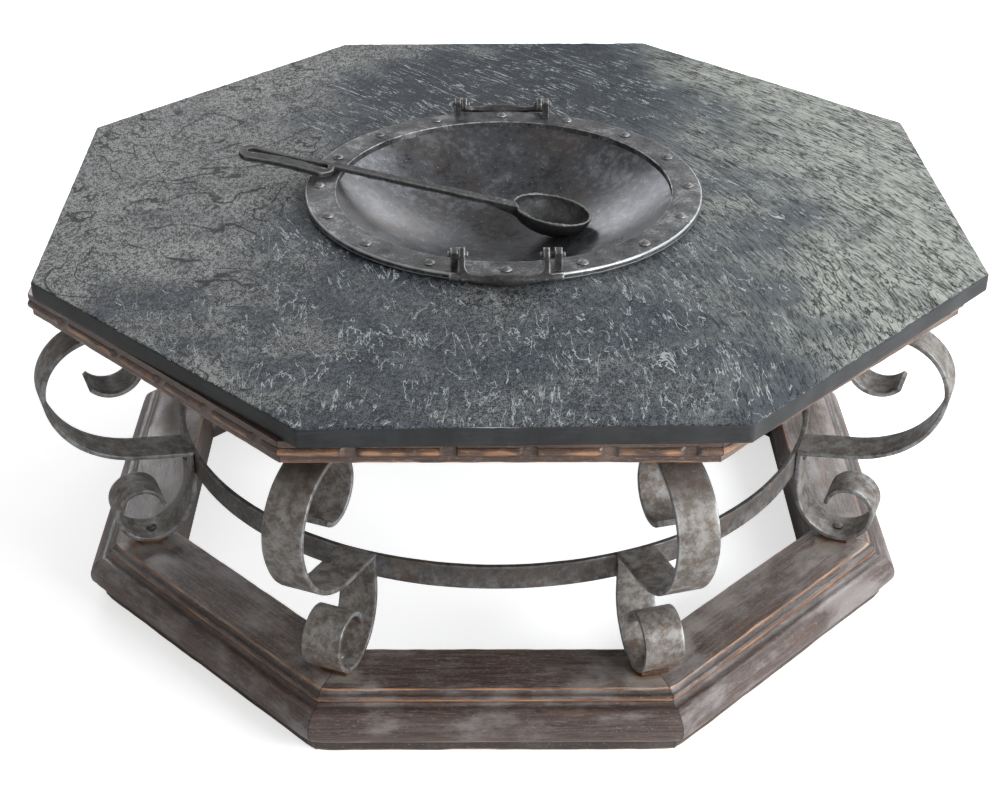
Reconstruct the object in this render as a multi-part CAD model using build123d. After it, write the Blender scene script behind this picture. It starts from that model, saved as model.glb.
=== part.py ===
"""Brazier table: a slate top with a sunk fire dish, on eight iron scroll legs and a moulded timber base.

Millimetres and degrees, +Z up. The origin is on the floor under the middle of the whole table.
The octagons stand with a flat side to the front (-Y). Sides are numbered from the one that faces
+X, anticlockwise; corners from the one just after it.
"""
from build123d import *
import math
import os

# ---- the octagon ------------------------------------------------------------------------------
side_count = 8
side_angle = 360 / side_count
half_angle = side_angle / 2

# ---- fits -------------------------------------------------------------------------------------
key_clearance = 0.15         # a loose tongue in its slot, each way
shank_clearance = 0.15       # a screw or rivet in its hole, on the radius
head_clearance = 0.1         # a head over the face it is drawn against
seat_gap = 0.3               # two curved faces that rest on each other
turning_clearance = 0.3      # a bail eye round its pin, and beside its lug

# ---- where the top lies on the stand ------------------------------------------------------------
stand_shift = -8.1           # the base's middle, along X
rail_shift = 2.5             # the top rails' middle, along X from the base's middle
iron_shift = 2.0             # the hoop's and legs' middle, along X from the base's middle
slate_shift = 8.5            # the slate's middle, along X
slate_turn = 1.08            # the slate lies turned a little on its rails

# ---- base: eight mitred moulded rails -------------------------------------------------------------
base_height = 76.0
foot_setback = 29.3          # from the base's opening out to the line of the feet
base_top_width = 72.0        # flat top, from the opening to the arris
base_cove_reach = 7.0        # the cove under the arris
base_bead_height = 8.0
base_bead_top = 70.0
base_flare_reach = 26.0      # the ogee's widest line, out from the bead
base_flare_height = 40.0
plinth_height = 18.0
plinth_setback = 14.5        # the plinth, in from the widest line
base_key_height = 30.0       # middle of the hidden tongues
key_thickness = 6.0
key_width = 26.0             # across the mitre
key_length = 30.0            # along the mitre

# ---- legs: flat bar, one sharp bend and two scrolls -------------------------------------------------
bar_width = 48.0
bar_thickness = 6.0
foot_run = 45.5              # straight, from the sharp corner down
foot_radii = (77.0, 48.0, 43.0, 31.0, 28.0)
foot_headings = (-45, 0, 90, 180, 265)            # the way the bar points after each bend
arm_slope = 9.5              # the upper bar leaves the corner at this rise
arm_run = 65.0
arm_radii = (147.0, 112.0, 68.0, 83.0, 45.0, 36.0)
arm_headings = (30, 80, 150, 180, 270, 410)
leg_turns = (0, 0, 0, 0, 0, 0, -6.5, 0)   # a leg fitted a little askew, turned about its corner
washer_width = 34.0
washer_thickness = 7.5

# ---- hoop ----------------------------------------------------------------------------------------
hoop_outer = 420.0           # radius
hoop_thickness = 6.0
hoop_height = 32.0

# ---- screws and rivets of the stand ----------------------------------------------------------------
screw_shank = 6.0
screw_head = 15.0
screw_head_height = 4.0
screw_bite = 25.0            # depth in the timber
hoop_rivet_shank = 7.0
hoop_rivet_head = 13.0
hoop_rivet_head_height = 3.5

# ---- top rails: inner bearers with a moulding round them ---------------------------------------------
bearer_height = 60.0
bearer_width = 42.0
bearer_key_drop = 18.0       # middle of the tongues below the slate
bearer_overhang = 9.1        # bearer's outer corner beyond the line where the scrolls touch it
moulding_height = 28.0
moulding_width = 56.7        # at the lower fillet
moulding_fillet = 8.0        # height of the flat lower fillet
moulding_step = 8.0          # height of the flat step under the slate
moulding_step_reach = 3.0
moulding_bead_reach = 5.5
notch_spots = (-152.0, -51.0, 30.0, 111.0, 191.0)   # their middles, along each side
notch_length = 18.0
notch_depth = 4.0

# ---- slate -----------------------------------------------------------------------------------------
slate_radius = 600.0         # to the corners
slate_thickness = 23.0
slate_arris = 1.2
slate_hole_gap = 4.0         # round the pan

# ---- dish: pan, ring and rivets ----------------------------------------------------------------------
dish_x = 4.5                 # middle of the dish
dish_y = 1.0
ring_outer = 250.0
ring_width = 38.0            # from the ring's outer edge to its opening
ring_thickness = 8.0
ring_edge = 1.5              # rounding of the ring's upper outer edge
flange_setback = 4.0         # pan flange, in from the ring's outer edge
pan_thickness = 3.0
pan_depth = 77.0             # below the flange's upper face
rivet_count = 16
rivet_inset = 17.0           # rivet circle, in from the ring's outer edge
rivet_shank = 6.0
rivet_head = 15.0
rivet_head_height = 4.5

# ---- bails: two drop handles in riveted lugs ------------------------------------------------------------
lug_span = 120.0             # between the middles of a pair of lugs
lug_inset = 20.0             # lugs, in from the ring's outer edge
lug_thickness = 9.0          # along the pin
lug_depth = 14.0
lug_height = 25.0
lug_rounding = 3.0
tenon_diameter = 7.0
pin_diameter = 6.0
pin_height = 18.0            # above the ring
pin_proud = 3.5              # beyond the lug and beyond the bail's eye
eye_radius = 8.5
front_bail_narrowing = 5.0   # the front bail's right arm stands this far in from its lug
grip_bow = 4.5               # the grip's middle beyond its ends
arm_thickness = 8.0          # a bail's arm, along the pin
arm_depth = 6.0
grip_drop = 33.5             # from the pin to the middle of the grip
grip_radius = 7.5            # at its middle
grip_neck_radius = 4.0       # from the arms outward
grip_length = 132.0
arm_flare = 11.0             # rounding where the arms spread into the grip

# ---- ladle -------------------------------------------------------------------------------------------------
bowl_half_length = 52.0
bowl_half_width = 43.0
bowl_depth = 34.0
bowl_wall = 4.0
bowl_x = 63.0                # rim's middle, from the middle of the dish
bowl_y = 17.0
bowl_float = 5.0             # bowl above the pan straight below it; it touches a little to one side
bowl_offset = 14.0           # the bowl's middle, to the left of the shaft's line
ladle_heading = -9.1         # the way the shaft points, seen from above
shaft_rise = 3.0             # shaft's upper face above the rim
shaft_width = 14.0
shaft_thickness = 8.0
shaft_root_depth = 16.0      # the shaft deepens where it meets the bowl
shaft_root_width = 20.0
shaft_root_length = 28.0
shaft_root_reach = 18.0      # into the bowl's wall, from its outer end
loop_near = 282.0            # ends of the loop, from the rim's middle
loop_far = 407.0
loop_width = 39.0
loop_waist = 4.0             # each long side draws in this much
loop_side = 4.0              # the loop's near side, beyond the shaft's line
slot_near = 291.0
slot_far = 396.0
slot_width = 15.0
slot_waist = 9.0             # the slot's far side draws in this much
slot_side = 5.5              # the slot's near side, from the shaft's line

# ---- levels and places that follow --------------------------------------------------------------------------
ring_inner = ring_outer - ring_width
leg_face = hoop_outer + seat_gap
corner_radius = leg_face + bar_thickness / 2
rivet_circle = ring_outer - rivet_inset
flange_outer = ring_outer - flange_setback
pan_radius = (ring_inner ** 2 + pan_depth ** 2) / (2 * pan_depth)
lug_place = ring_outer - lug_inset
eye_middle = lug_span / 2 - lug_thickness / 2 - turning_clearance - arm_thickness / 2


def corner_angle(index):
    """Where corner number index stands, seen from above."""
    return half_angle + side_angle * index


def side_heading(index):
    """The way side number index faces, seen from above."""
    return side_angle * index


def apothem_to_corner(apothem):
    """Corner radius of an octagon with this apothem."""
    return apothem / math.cos(math.radians(half_angle))


def drop_solid(shape):
    """Cut results come as lists or compounds; one rail or leg is one solid."""
    return shape.solids().sort_by(SortBy.VOLUME)[-1]


# ---- legs -----------------------------------------------------------------------------------------------------
def bar_side(start, heading, run_end, bends, offset):
    """One long edge of a bent bar: a straight, then bends to the left, each to a given heading."""
    edges = [Line(start, run_end)]
    for radius, end_heading in bends:
        tangent = Vector(math.cos(math.radians(heading)), math.sin(math.radians(heading)))
        edges.append(JernArc(edges[-1] @ 1, tangent, radius + offset, end_heading - heading))
        heading = end_heading
    return edges


def level_end(edges, bends, heading):
    """The point on an edge where the bar has turned to this heading."""
    order = [end for _, end in bends].index(heading)
    return edges[order + 1] @ 1


half_bar = bar_thickness / 2
slope = math.radians(arm_slope)
along = Vector(math.cos(slope), math.sin(slope))
across = Vector(-math.sin(slope), math.cos(slope))
mitre_run = half_bar * (1 - math.sin(slope)) / math.cos(slope)
ridge = Vector(0, 0) + across * half_bar - along * mitre_run
crotch = Vector(0, 0) - across * half_bar + along * mitre_run

foot_bends = tuple(zip(foot_radii, foot_headings))
arm_bends = tuple(zip(arm_radii, arm_headings))
foot_outside = bar_side(ridge, -90, Vector(-half_bar, -foot_run), foot_bends, half_bar)
foot_inside = bar_side(crotch, -90, Vector(half_bar, -foot_run), foot_bends, -half_bar)
arm_outside = bar_side(crotch, arm_slope, along * arm_run - across * half_bar, arm_bends, half_bar)
arm_inside = bar_side(ridge, arm_slope, along * arm_run + across * half_bar, arm_bends, -half_bar)
foot_point = level_end(foot_outside, foot_bends, 0)
head_point = level_end(arm_outside, arm_bends, 180)

foot_cup = min(radius for radius, end in foot_bends[1:3]) - half_bar
head_cup = min(radius for radius, end in arm_bends[3:5]) - half_bar


def cup_rise(cup_radius):
    """How far a screw head stands off the hollow face of a scroll."""
    return cup_radius - math.sqrt(cup_radius ** 2 - (screw_head / 2) ** 2) + head_clearance


corner_height = base_height + washer_thickness - foot_point.Y
foot_radius = corner_radius + foot_point.X
base_inner = foot_radius * math.cos(math.radians(half_angle)) - foot_setback
base_top_outer = base_inner + base_top_width
bead_reach = base_top_outer + base_cove_reach
base_widest = bead_reach + base_flare_reach
plinth_outer = base_widest - plinth_setback
head_radius = corner_radius + head_point.X
leg_top = corner_height + head_point.Y
hoop_middle = corner_height - hoop_height / 2


def make_leg():
    """A leg in the XZ plane, its sharp corner at its own place; turned to its corner later."""
    outline = (foot_outside + foot_inside + arm_outside + arm_inside
               + [Line(foot_outside[-1] @ 1, foot_inside[-1] @ 1),
                  Line(arm_outside[-1] @ 1, arm_inside[-1] @ 1)])
    face = Plane.XZ * make_face(outline)
    leg = Pos(corner_radius, 0, corner_height) * extrude(face, bar_width / 2, both=True)
    hole = screw_shank / 2 + shank_clearance
    leg -= Pos(foot_radius, 0, base_height + washer_thickness) * Cylinder(hole, 4 * bar_thickness)
    leg -= Pos(head_radius, 0, leg_top) * Cylinder(hole, 4 * bar_thickness)
    return drop_solid(leg)


def stand_off(index):
    """How far an askew leg must move out, so that its edge clears the hoop."""
    half_width = bar_width / 2
    hoop_fall = hoop_outer - math.sqrt(hoop_outer ** 2 - half_width ** 2)
    return max(0, half_width * math.sin(math.radians(abs(leg_turns[index]))) - hoop_fall)


def at_hoop(index):
    """The iron frame's own radial place for leg number index."""
    return Pos(stand_shift + iron_shift, 0, 0) * Rot(0, 0, corner_angle(index))


def at_leg(index):
    """The place of leg number index, turned about its corner."""
    askew = Pos(corner_radius, 0, 0) * Rot(0, 0, leg_turns[index]) * Pos(-corner_radius, 0, 0)
    return at_hoop(index) * Pos(stand_off(index), 0, 0) * askew


def hoop_bore(index):
    """The rivet hole through the hoop and its leg."""
    return (at_hoop(index) * Pos(hoop_outer, 0, hoop_middle) * Rot(0, 90, 0)
            * Cylinder(hoop_rivet_shank / 2 + shank_clearance, 6 * hoop_thickness))


def make_hoop_rivet(index):
    """A rivet with a head inside the hoop and one on the leg, long enough for an askew leg."""
    tilt = hoop_rivet_head / 2 * math.sin(math.radians(abs(leg_turns[index])))
    grip = hoop_thickness + seat_gap + stand_off(index) + bar_thickness + tilt + seat_gap
    outer = domed_pin(hoop_rivet_shank / 2, hoop_rivet_head / 2, hoop_rivet_head_height, grip)
    inner = domed_pin(hoop_rivet_shank / 2, hoop_rivet_head / 2, hoop_rivet_head_height, 1)
    rivet = outer + Pos(0, 0, -grip - seat_gap) * Rot(180, 0, 0) * inner
    rivet += Pos(0, 0, -grip) * Cylinder(hoop_rivet_shank / 2, 2 * seat_gap)
    inner_face = hoop_outer - hoop_thickness
    return Pos(inner_face + grip, 0, hoop_middle) * Rot(0, 90, 0) * drop_solid(rivet)


# ---- timber rails -----------------------------------------------------------------------------------------------
def wedge(reach, height):
    """The sector of one octagon side, which cuts the mitres."""
    edge = reach * math.tan(math.radians(half_angle))
    outline = Polyline((0, 0), (reach, -edge), (reach, edge), close=True)
    return extrude(make_face(outline), height)


def make_rail(section, reach, height):
    """A rail with this (apothem, height) section along the side that faces +X, cut to its mitres."""
    bar = extrude(Plane.XZ * make_face(section), 2 * reach, both=True)
    return drop_solid(bar & wedge(2 * reach, height))


def mitre_keys(radius, height, clearance):
    """The loose tongues across all the mitres; with a clearance, the slots they sit in."""
    size = (key_length + 2 * clearance, key_width + 2 * clearance, key_thickness + 2 * clearance)
    return [Rot(0, 0, corner_angle(i)) * Pos(radius, 0, height) * Box(*size)
            for i in range(side_count)]


def corner_bores(radius, level, depth):
    """Screw holes over the legs, from a level and this far up (or down, if negative)."""
    hole = screw_shank / 2 + shank_clearance
    return [at_leg(i) * Pos(radius, 0, level + depth / 2) * Cylinder(hole, abs(depth))
            for i in range(side_count)]


def bored(rail, bores):
    """A rail in its place, less the screw holes that reach it."""
    for bore in bores:
        rail = rail - bore
    return drop_solid(rail)


def base_section():
    """Plinth, ogee, bead, cove and flat top, from the floor up."""
    bead_foot = base_bead_top - base_bead_height
    shoulder = Vector(bead_reach + base_flare_reach * 0.42, bead_foot - base_bead_height / 2)
    lip = Vector(base_widest - plinth_setback / 2, plinth_height)
    belly = ThreePointArc(lip, (base_widest, base_flare_height), shoulder)
    shelf = ThreePointArc(shoulder, (shoulder + Vector(bead_reach, bead_foot)) * 0.5 - Vector(1, 1),
                          (bead_reach, bead_foot))
    bead = ThreePointArc((bead_reach, bead_foot),
                         (bead_reach + base_bead_height / 4, base_bead_top - base_bead_height / 2),
                         (bead_reach, base_bead_top))
    cove = ThreePointArc((bead_reach, base_bead_top),
                         (base_top_outer + base_cove_reach * 0.3,
                          base_bead_top + (base_height - base_bead_top) * 0.3),
                         (base_top_outer, base_height))
    walls = Polyline((base_top_outer, base_height), (base_inner, base_height), (base_inner, 0),
                     (plinth_outer, 0), (plinth_outer, plinth_height), lip)
    return belly.edges() + shelf.edges() + bead.edges() + cove.edges() + walls.edges()


bearer_outer = (head_radius + bearer_overhang) * math.cos(math.radians(half_angle))
bearer_inner = bearer_outer - bearer_width
slate_bottom = leg_top + bearer_height
slate_top = slate_bottom + slate_thickness
base_key_radius = apothem_to_corner(base_inner + base_top_width / 2)
bearer_key_radius = apothem_to_corner(bearer_outer - bearer_width / 2)
bearer_key_height = slate_bottom - bearer_key_drop
moulding_outer = bearer_outer + moulding_width


def bearer_section():
    """A plain deep rail."""
    return Polyline((bearer_inner, leg_top), (bearer_outer, leg_top), (bearer_outer, slate_bottom),
                    (bearer_inner, slate_bottom), close=True).edges()


def moulding_section():
    """Flat fillet, half-round bead and a step up to the slate."""
    bottom = slate_bottom - moulding_height
    bead_low = bottom + moulding_fillet
    bead_high = slate_bottom - moulding_step
    bead = ThreePointArc((moulding_outer, bead_low),
                         (moulding_outer + moulding_bead_reach, (bead_low + bead_high) / 2),
                         (moulding_outer, bead_high))
    step = moulding_outer + moulding_step_reach
    walls = Polyline((moulding_outer, bead_high), (step, bead_high), (step, slate_bottom),
                     (bearer_outer, slate_bottom), (bearer_outer, bottom), (moulding_outer, bottom),
                     (moulding_outer, bead_low))
    return bead.edges() + walls.edges()


def moulding_notches():
    """The short flats carved across the bead of one side."""
    height = moulding_height - moulding_fillet - moulding_step
    middle = slate_bottom - moulding_step - height / 2
    front = moulding_outer + moulding_bead_reach
    return [Pos(front, spot, middle) * Box(2 * notch_depth, notch_length, height)
            for spot in notch_spots]


# ---- round heads ----------------------------------------------------------------------------------------------------
def domed_pin(shank_radius, head_radius_, head_height, length):
    """A rivet or screw pointing down from z = 0: shank below, a low dome above."""
    dome = (head_radius_ ** 2 + head_height ** 2) / (2 * head_height)
    head = Pos(0, 0, head_height - dome) * Sphere(dome)
    head &= Pos(0, 0, head_height / 2) * Cylinder(head_radius_, head_height)
    shank = Pos(0, 0, -length / 2) * Cylinder(shank_radius, length)
    return drop_solid(head + shank)


# ---- dish --------------------------------------------------------------------------------------------------------------
flange_bottom = slate_top
flange_top = flange_bottom + pan_thickness
ring_top = flange_top + ring_thickness
pan_centre = flange_top - pan_depth + pan_radius
pan_hole_radius = math.sqrt((pan_radius + pan_thickness) ** 2 - (pan_centre - slate_top) ** 2)


def pan_height(distance):
    """The pan's inner face, at this distance from its middle."""
    return pan_centre - math.sqrt(pan_radius ** 2 - distance ** 2)


def make_pan():
    """A shallow spherical pan with a flat flange that lies on the slate."""
    shell = Sphere(pan_radius + pan_thickness) - Sphere(pan_radius)
    shell = Pos(0, 0, pan_centre) * shell
    bowl_space = Pos(0, 0, flange_top - pan_radius) * Cylinder(ring_outer, 2 * pan_radius)
    pan = shell & bowl_space
    flange = Pos(0, 0, (flange_bottom + flange_top) / 2) * (
        Cylinder(flange_outer, pan_thickness) - Cylinder(ring_inner, 2 * pan_thickness))
    return pan + flange


def ring_bores(radius, circle, count, start):
    """Holes through the ring and the flange."""
    middle = (flange_bottom + ring_top) / 2
    depth = 2 * (ring_top - flange_bottom)
    return [Rot(0, 0, start + 360 / count * i) * Pos(circle, 0, middle) * Cylinder(radius, depth)
            for i in range(count)]


def lug_spots():
    """Names and middles of the four lugs, from the middle of the dish."""
    return {f"{end}_{side}": (x * lug_span / 2, y * lug_place)
            for end, y in (("front", -1), ("back", 1)) for side, x in (("left", -1), ("right", 1))}


def make_lug():
    """A square post with a round tenon through the ring, bored for its pin; its foot at z = 0."""
    post = Pos(0, 0, lug_height / 2) * Box(lug_thickness, lug_depth, lug_height)
    post = fillet(post.edges().filter_by(Axis.X).group_by(Axis.Z)[-1], lug_rounding)
    tenon_length = ring_top - flange_bottom
    post += Pos(0, 0, -tenon_length / 2) * Cylinder(tenon_diameter / 2, tenon_length)
    bore = pin_diameter / 2 + shank_clearance / 3
    return drop_solid(post - Pos(0, 0, pin_height) * Rot(0, 90, 0) * Cylinder(bore, 2 * lug_depth))


def make_pin(reach):
    """A pin through a lug and the bail's eye beside it, its two ends proud."""
    length = pin_proud + lug_thickness + reach + arm_thickness + pin_proud
    return fillet((Rot(0, 90, 0) * Cylinder(pin_diameter / 2, length)).edges(), pin_diameter / 8)


def rest_drop():
    """How far below level the bail hangs, with its grip against the ring's outer edge."""
    out = ring_outer - lug_place
    edge_reach = math.hypot(out, pin_height)
    touching = grip_radius + seat_gap
    inner = (grip_drop ** 2 + edge_reach ** 2 - touching ** 2) / (2 * grip_drop * edge_reach)
    return math.degrees(math.atan2(pin_height, out) - math.acos(inner))


def grip_line(x):
    """The bowed middle line of the grip, in the bail's plane."""
    return -grip_drop + grip_bow * (2 * x / grip_length) ** 2


def make_grip():
    """A round bar, thickest in the middle and bowed like the ring's edge."""
    sections = []
    for step in (-1, -0.72, -0.4, 0, 0.4, 0.72, 1):
        x = step * grip_length / 2
        swell = math.cos(math.pi / 2 * min(1, abs(step) / 0.72)) ** 2
        radius = grip_neck_radius + (grip_radius - grip_neck_radius) * swell
        lean = 4 * grip_bow * step / grip_length
        spot = Plane(origin=(x, grip_line(x), 0), x_dir=(0, 0, 1), z_dir=(1, lean, 0))
        sections.append(spot * Circle(radius))
    return loft(sections)


def make_bail(left, right):
    """A bail lying level towards -Y, its pin axis on X and its two arms at these places."""
    arm_end = grip_line(right)
    plate = Sketch() + [Pos(x, arm_end / 2) * Rectangle(arm_thickness, -arm_end) for x in (left, right)]
    between = Vector((left + right) / 2, arm_end)
    plate += Pos(*between) * Rectangle(right - left, 2 * grip_neck_radius)
    inner = [v for v in plate.vertices() if abs(v.Y - arm_end - grip_neck_radius) < 0.01
             and left + 1 < v.X < right - 1]
    plate = fillet(inner, arm_flare)
    bail = extrude(plate, arm_depth / 2, both=True) + make_grip()
    for x in (left, right):
        bail += Pos(x, 0, 0) * Rot(0, 90, 0) * Cylinder(eye_radius, arm_thickness)
    bore = pin_diameter / 2 + turning_clearance
    return drop_solid(bail - Rot(0, 90, 0) * Cylinder(bore, grip_length))


# ---- ladle ----------------------------------------------------------------------------------------------------------------
bowl_distance = math.hypot(bowl_x, bowl_y)
rim_height = pan_height(bowl_distance) + bowl_depth + bowl_float


def waisted(near, far, side, width, near_waist, far_waist):
    """A strip along -X with bowed ends, whose long sides draw in towards the middle."""
    bow = width * 0.35
    middle = side - width / 2
    start, end = -near - bow, -far + bow
    halfway = (start + end) / 2
    return make_face(
        ThreePointArc((start, side), (halfway, side - near_waist), (end, side)).edges()
        + ThreePointArc((end, side), (-far, middle), (end, side - width)).edges()
        + ThreePointArc((end, side - width), (halfway, side - width + far_waist),
                        (start, side - width)).edges()
        + ThreePointArc((start, side - width), (-near, middle), (start, side)).edges())


def make_ladle():
    """The ladle lying level: the shaft's line on the X axis towards -X, its upper face at z = 0."""
    outer = scale(Sphere(1), by=(bowl_half_length, bowl_half_width, bowl_depth))
    inner = scale(Sphere(1), by=(bowl_half_length - bowl_wall, bowl_half_width - bowl_wall,
                                 bowl_depth - bowl_wall))
    below = Pos(0, 0, -bowl_depth) * Box(3 * bowl_half_length, 3 * bowl_half_width, 2 * bowl_depth)
    bowl = Pos(0, bowl_offset, -shaft_rise) * ((outer - inner) & below)
    hollow = Pos(0, bowl_offset, -shaft_rise) * inner
    root = bowl_half_length + shaft_root_length
    meet = bowl_half_length - shaft_root_reach
    bar = Polyline((-loop_near - 6, 0), (-meet, 0), (-meet, -shaft_thickness),
                   (-loop_near - 6, -shaft_thickness), close=True)
    shaft = extrude(Plane.XZ * make_face(bar), shaft_width / 2, both=True)
    flare = loft([Plane.YZ.offset(-root) * Pos(0, -shaft_thickness / 2)
                  * Rectangle(shaft_width, shaft_thickness),
                  Plane.YZ.offset(-meet) * Pos(bowl_offset / 3, -shaft_rise - shaft_root_depth / 2)
                  * Rectangle(shaft_root_width, shaft_root_depth)])
    loop = waisted(loop_near, loop_far, loop_side, loop_width, loop_waist, loop_waist)
    loop -= waisted(slot_near, slot_far, -slot_side, slot_width, loop_waist / 4, slot_waist)
    loop = Pos(0, 0, -shaft_thickness) * extrude(loop, shaft_thickness)
    return drop_solid(bowl + (shaft + flare - hollow) + loop)


def place_ladle(ladle):
    """Lay the ladle with its bowl in the pan and its shaft on the ring's inner edge."""
    heading = math.radians(ladle_heading)
    back = Vector(-math.cos(heading), -math.sin(heading))
    start = Vector(bowl_x, bowl_y) - bowl_offset * Vector(-math.sin(heading), math.cos(heading))
    inward = -start.dot(back)
    span = inward + math.sqrt(inward ** 2 - start.dot(start) + ring_inner ** 2)
    rise = ring_top + seat_gap - rim_height
    below = shaft_thickness - shaft_rise
    tilt = math.atan2(rise, span) + math.asin(below / math.hypot(rise, span))
    return (Pos(dish_x + bowl_x, dish_y + bowl_y, rim_height) * Rot(0, 0, ladle_heading)
            * Rot(0, math.degrees(tilt), 0) * Pos(0, -bowl_offset, shaft_rise) * ladle)


# ---- assembly ----------------------------------------------------------------------------------------------------------------
nodes = {}
stand = Pos(stand_shift, 0, 0)
rails = Pos(stand_shift + rail_shift, 0, 0)
dish = Pos(dish_x, dish_y, 0)

base_rail = make_rail(base_section(), base_widest, base_height)
for cutter in mitre_keys(base_key_radius, base_key_height, key_clearance):
    base_rail = base_rail - cutter
bearer = make_rail(bearer_section(), bearer_outer, slate_bottom)
for cutter in mitre_keys(bearer_key_radius, bearer_key_height, key_clearance):
    bearer = bearer - cutter
moulding = make_rail(moulding_section(), moulding_outer + moulding_bead_reach, slate_bottom)
for cutter in moulding_notches():
    moulding = moulding - cutter
leg = make_leg()
foot_bores = corner_bores(foot_radius, base_height, -screw_bite)
head_bores = corner_bores(head_radius, leg_top, screw_bite)
for index in range(side_count):
    turn = Rot(0, 0, side_heading(index))
    nodes[f"base_rail_{index + 1}"] = bored(stand * turn * drop_solid(base_rail), foot_bores)
    nodes[f"top_bearer_{index + 1}"] = bored(rails * turn * drop_solid(bearer), head_bores)
    nodes[f"top_moulding_{index + 1}"] = rails * turn * drop_solid(moulding)
    nodes[f"leg_{index + 1}"] = drop_solid(at_leg(index) * leg - hoop_bore(index))
nodes["base_mitre_keys"] = Compound([stand * k for k in mitre_keys(base_key_radius, base_key_height, 0)])
nodes["bearer_mitre_keys"] = Compound([rails * k for k in mitre_keys(bearer_key_radius,
                                                                     bearer_key_height, 0)])


def at_legs(piece):
    """The same small piece at all eight legs, as one node."""
    return Compound([at_leg(i) * piece for i in range(side_count)])


washer = (Box(washer_width, washer_width, washer_thickness)
          - Cylinder(screw_shank / 2 + shank_clearance, washer_thickness))
nodes["foot_washers"] = at_legs(Pos(foot_radius, 0, base_height + washer_thickness / 2) * washer)
foot_seat = base_height + washer_thickness + bar_thickness + cup_rise(foot_cup)
foot_screw = domed_pin(screw_shank / 2, screw_head / 2, screw_head_height,
                       foot_seat - base_height + screw_bite - 1)
nodes["foot_screws"] = at_legs(Pos(foot_radius, 0, foot_seat) * foot_screw)
head_seat = leg_top - bar_thickness - cup_rise(head_cup)
head_screw = domed_pin(screw_shank / 2, screw_head / 2, screw_head_height,
                       leg_top - head_seat + screw_bite - 1)
nodes["head_screws"] = at_legs(Pos(head_radius, 0, head_seat) * Rot(180, 0, 0) * head_screw)
hoop = Cylinder(hoop_outer, hoop_height) - Cylinder(hoop_outer - hoop_thickness, hoop_height)
hoop = Pos(stand_shift + iron_shift, 0, hoop_middle) * hoop
for index in range(side_count):
    hoop = hoop - hoop_bore(index)
nodes["hoop"] = drop_solid(hoop)
nodes["hoop_rivets"] = Compound([at_hoop(i) * make_hoop_rivet(i) for i in range(side_count)])

slate = extrude(RegularPolygon(slate_radius, side_count, rotation=half_angle), slate_thickness)
slate = Pos(slate_shift, 0, slate_bottom) * Rot(0, 0, slate_turn) * slate
slate = chamfer(slate.edges().group_by(Axis.Z)[-1], slate_arris)
slate -= dish * Pos(0, 0, slate_top) * Cylinder(pan_hole_radius + slate_hole_gap, 4 * slate_thickness)
nodes["slate_top"] = drop_solid(slate)

pan = make_pan()
ring = Pos(0, 0, (flange_top + ring_top) / 2) * (
    Cylinder(ring_outer, ring_thickness) - Cylinder(ring_inner, ring_thickness))
ring = fillet(ring.edges().filter_by(GeomType.CIRCLE).group_by(Axis.Z)[-1].sort_by(SortBy.LENGTH)[-1],
              ring_edge)
first_rivet = -90
bores = ring_bores(rivet_shank / 2 + shank_clearance, rivet_circle, rivet_count, first_rivet)
for x, y in lug_spots().values():
    bores.append(Pos(x, y, flange_top) * Cylinder(tenon_diameter / 2 + shank_clearance, 4 * ring_thickness))
for bore in bores:
    pan = pan - bore
    ring = ring - bore
nodes["dish_pan"] = dish * drop_solid(pan)
nodes["dish_ring"] = dish * drop_solid(ring)
rivet = Pos(0, 0, ring_top) * domed_pin(rivet_shank / 2, rivet_head / 2, rivet_head_height,
                                        ring_top - flange_bottom)
nodes["ring_rivets"] = Compound([
    dish * Rot(0, 0, first_rivet + 360 / rivet_count * i) * Pos(rivet_circle, 0, 0) * rivet
    for i in range(rivet_count)])
lug = make_lug()
pins = []
for name, (x, y) in lug_spots().items():
    nodes[f"lug_{name}"] = dish * Pos(x, y, ring_top) * lug
    reach = turning_clearance + (front_bail_narrowing if name == "front_right" else 0)
    middle = x - math.copysign(reach + arm_thickness, x) / 2
    pins.append(dish * Pos(middle, y, ring_top + pin_height) * make_pin(reach))
nodes["bail_pins"] = Compound(pins)
front_bail = Rot(rest_drop(), 0, 0) * make_bail(-eye_middle, eye_middle - front_bail_narrowing)
nodes["bail_front"] = dish * Pos(0, -lug_place, ring_top + pin_height) * front_bail
back_bail = Rot(0, 0, 180) * Rot(rest_drop(), 0, 0) * make_bail(-eye_middle, eye_middle)
nodes["bail_back"] = dish * Pos(0, lug_place, ring_top + pin_height) * back_bail
nodes["ladle"] = place_ladle(make_ladle())

os.makedirs("parts", exist_ok=True)
for name, shape in nodes.items():
    export_step(shape, f"parts/{name}.step")
    box = shape.bounding_box()
    print(f"{name}: {len(shape.solids())} solids, z {box.min.Z:.1f} to {box.max.Z:.1f}")
print(f"corner {corner_height:.1f}, leg top {leg_top:.1f}, slate top {slate_top:.1f}, "
      f"ring top {ring_top:.1f}, bail drop {rest_drop():.1f}")
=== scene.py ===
import math

import bmesh
import bpy
import numpy as np
from mathutils import Matrix, Vector, noise


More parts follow.
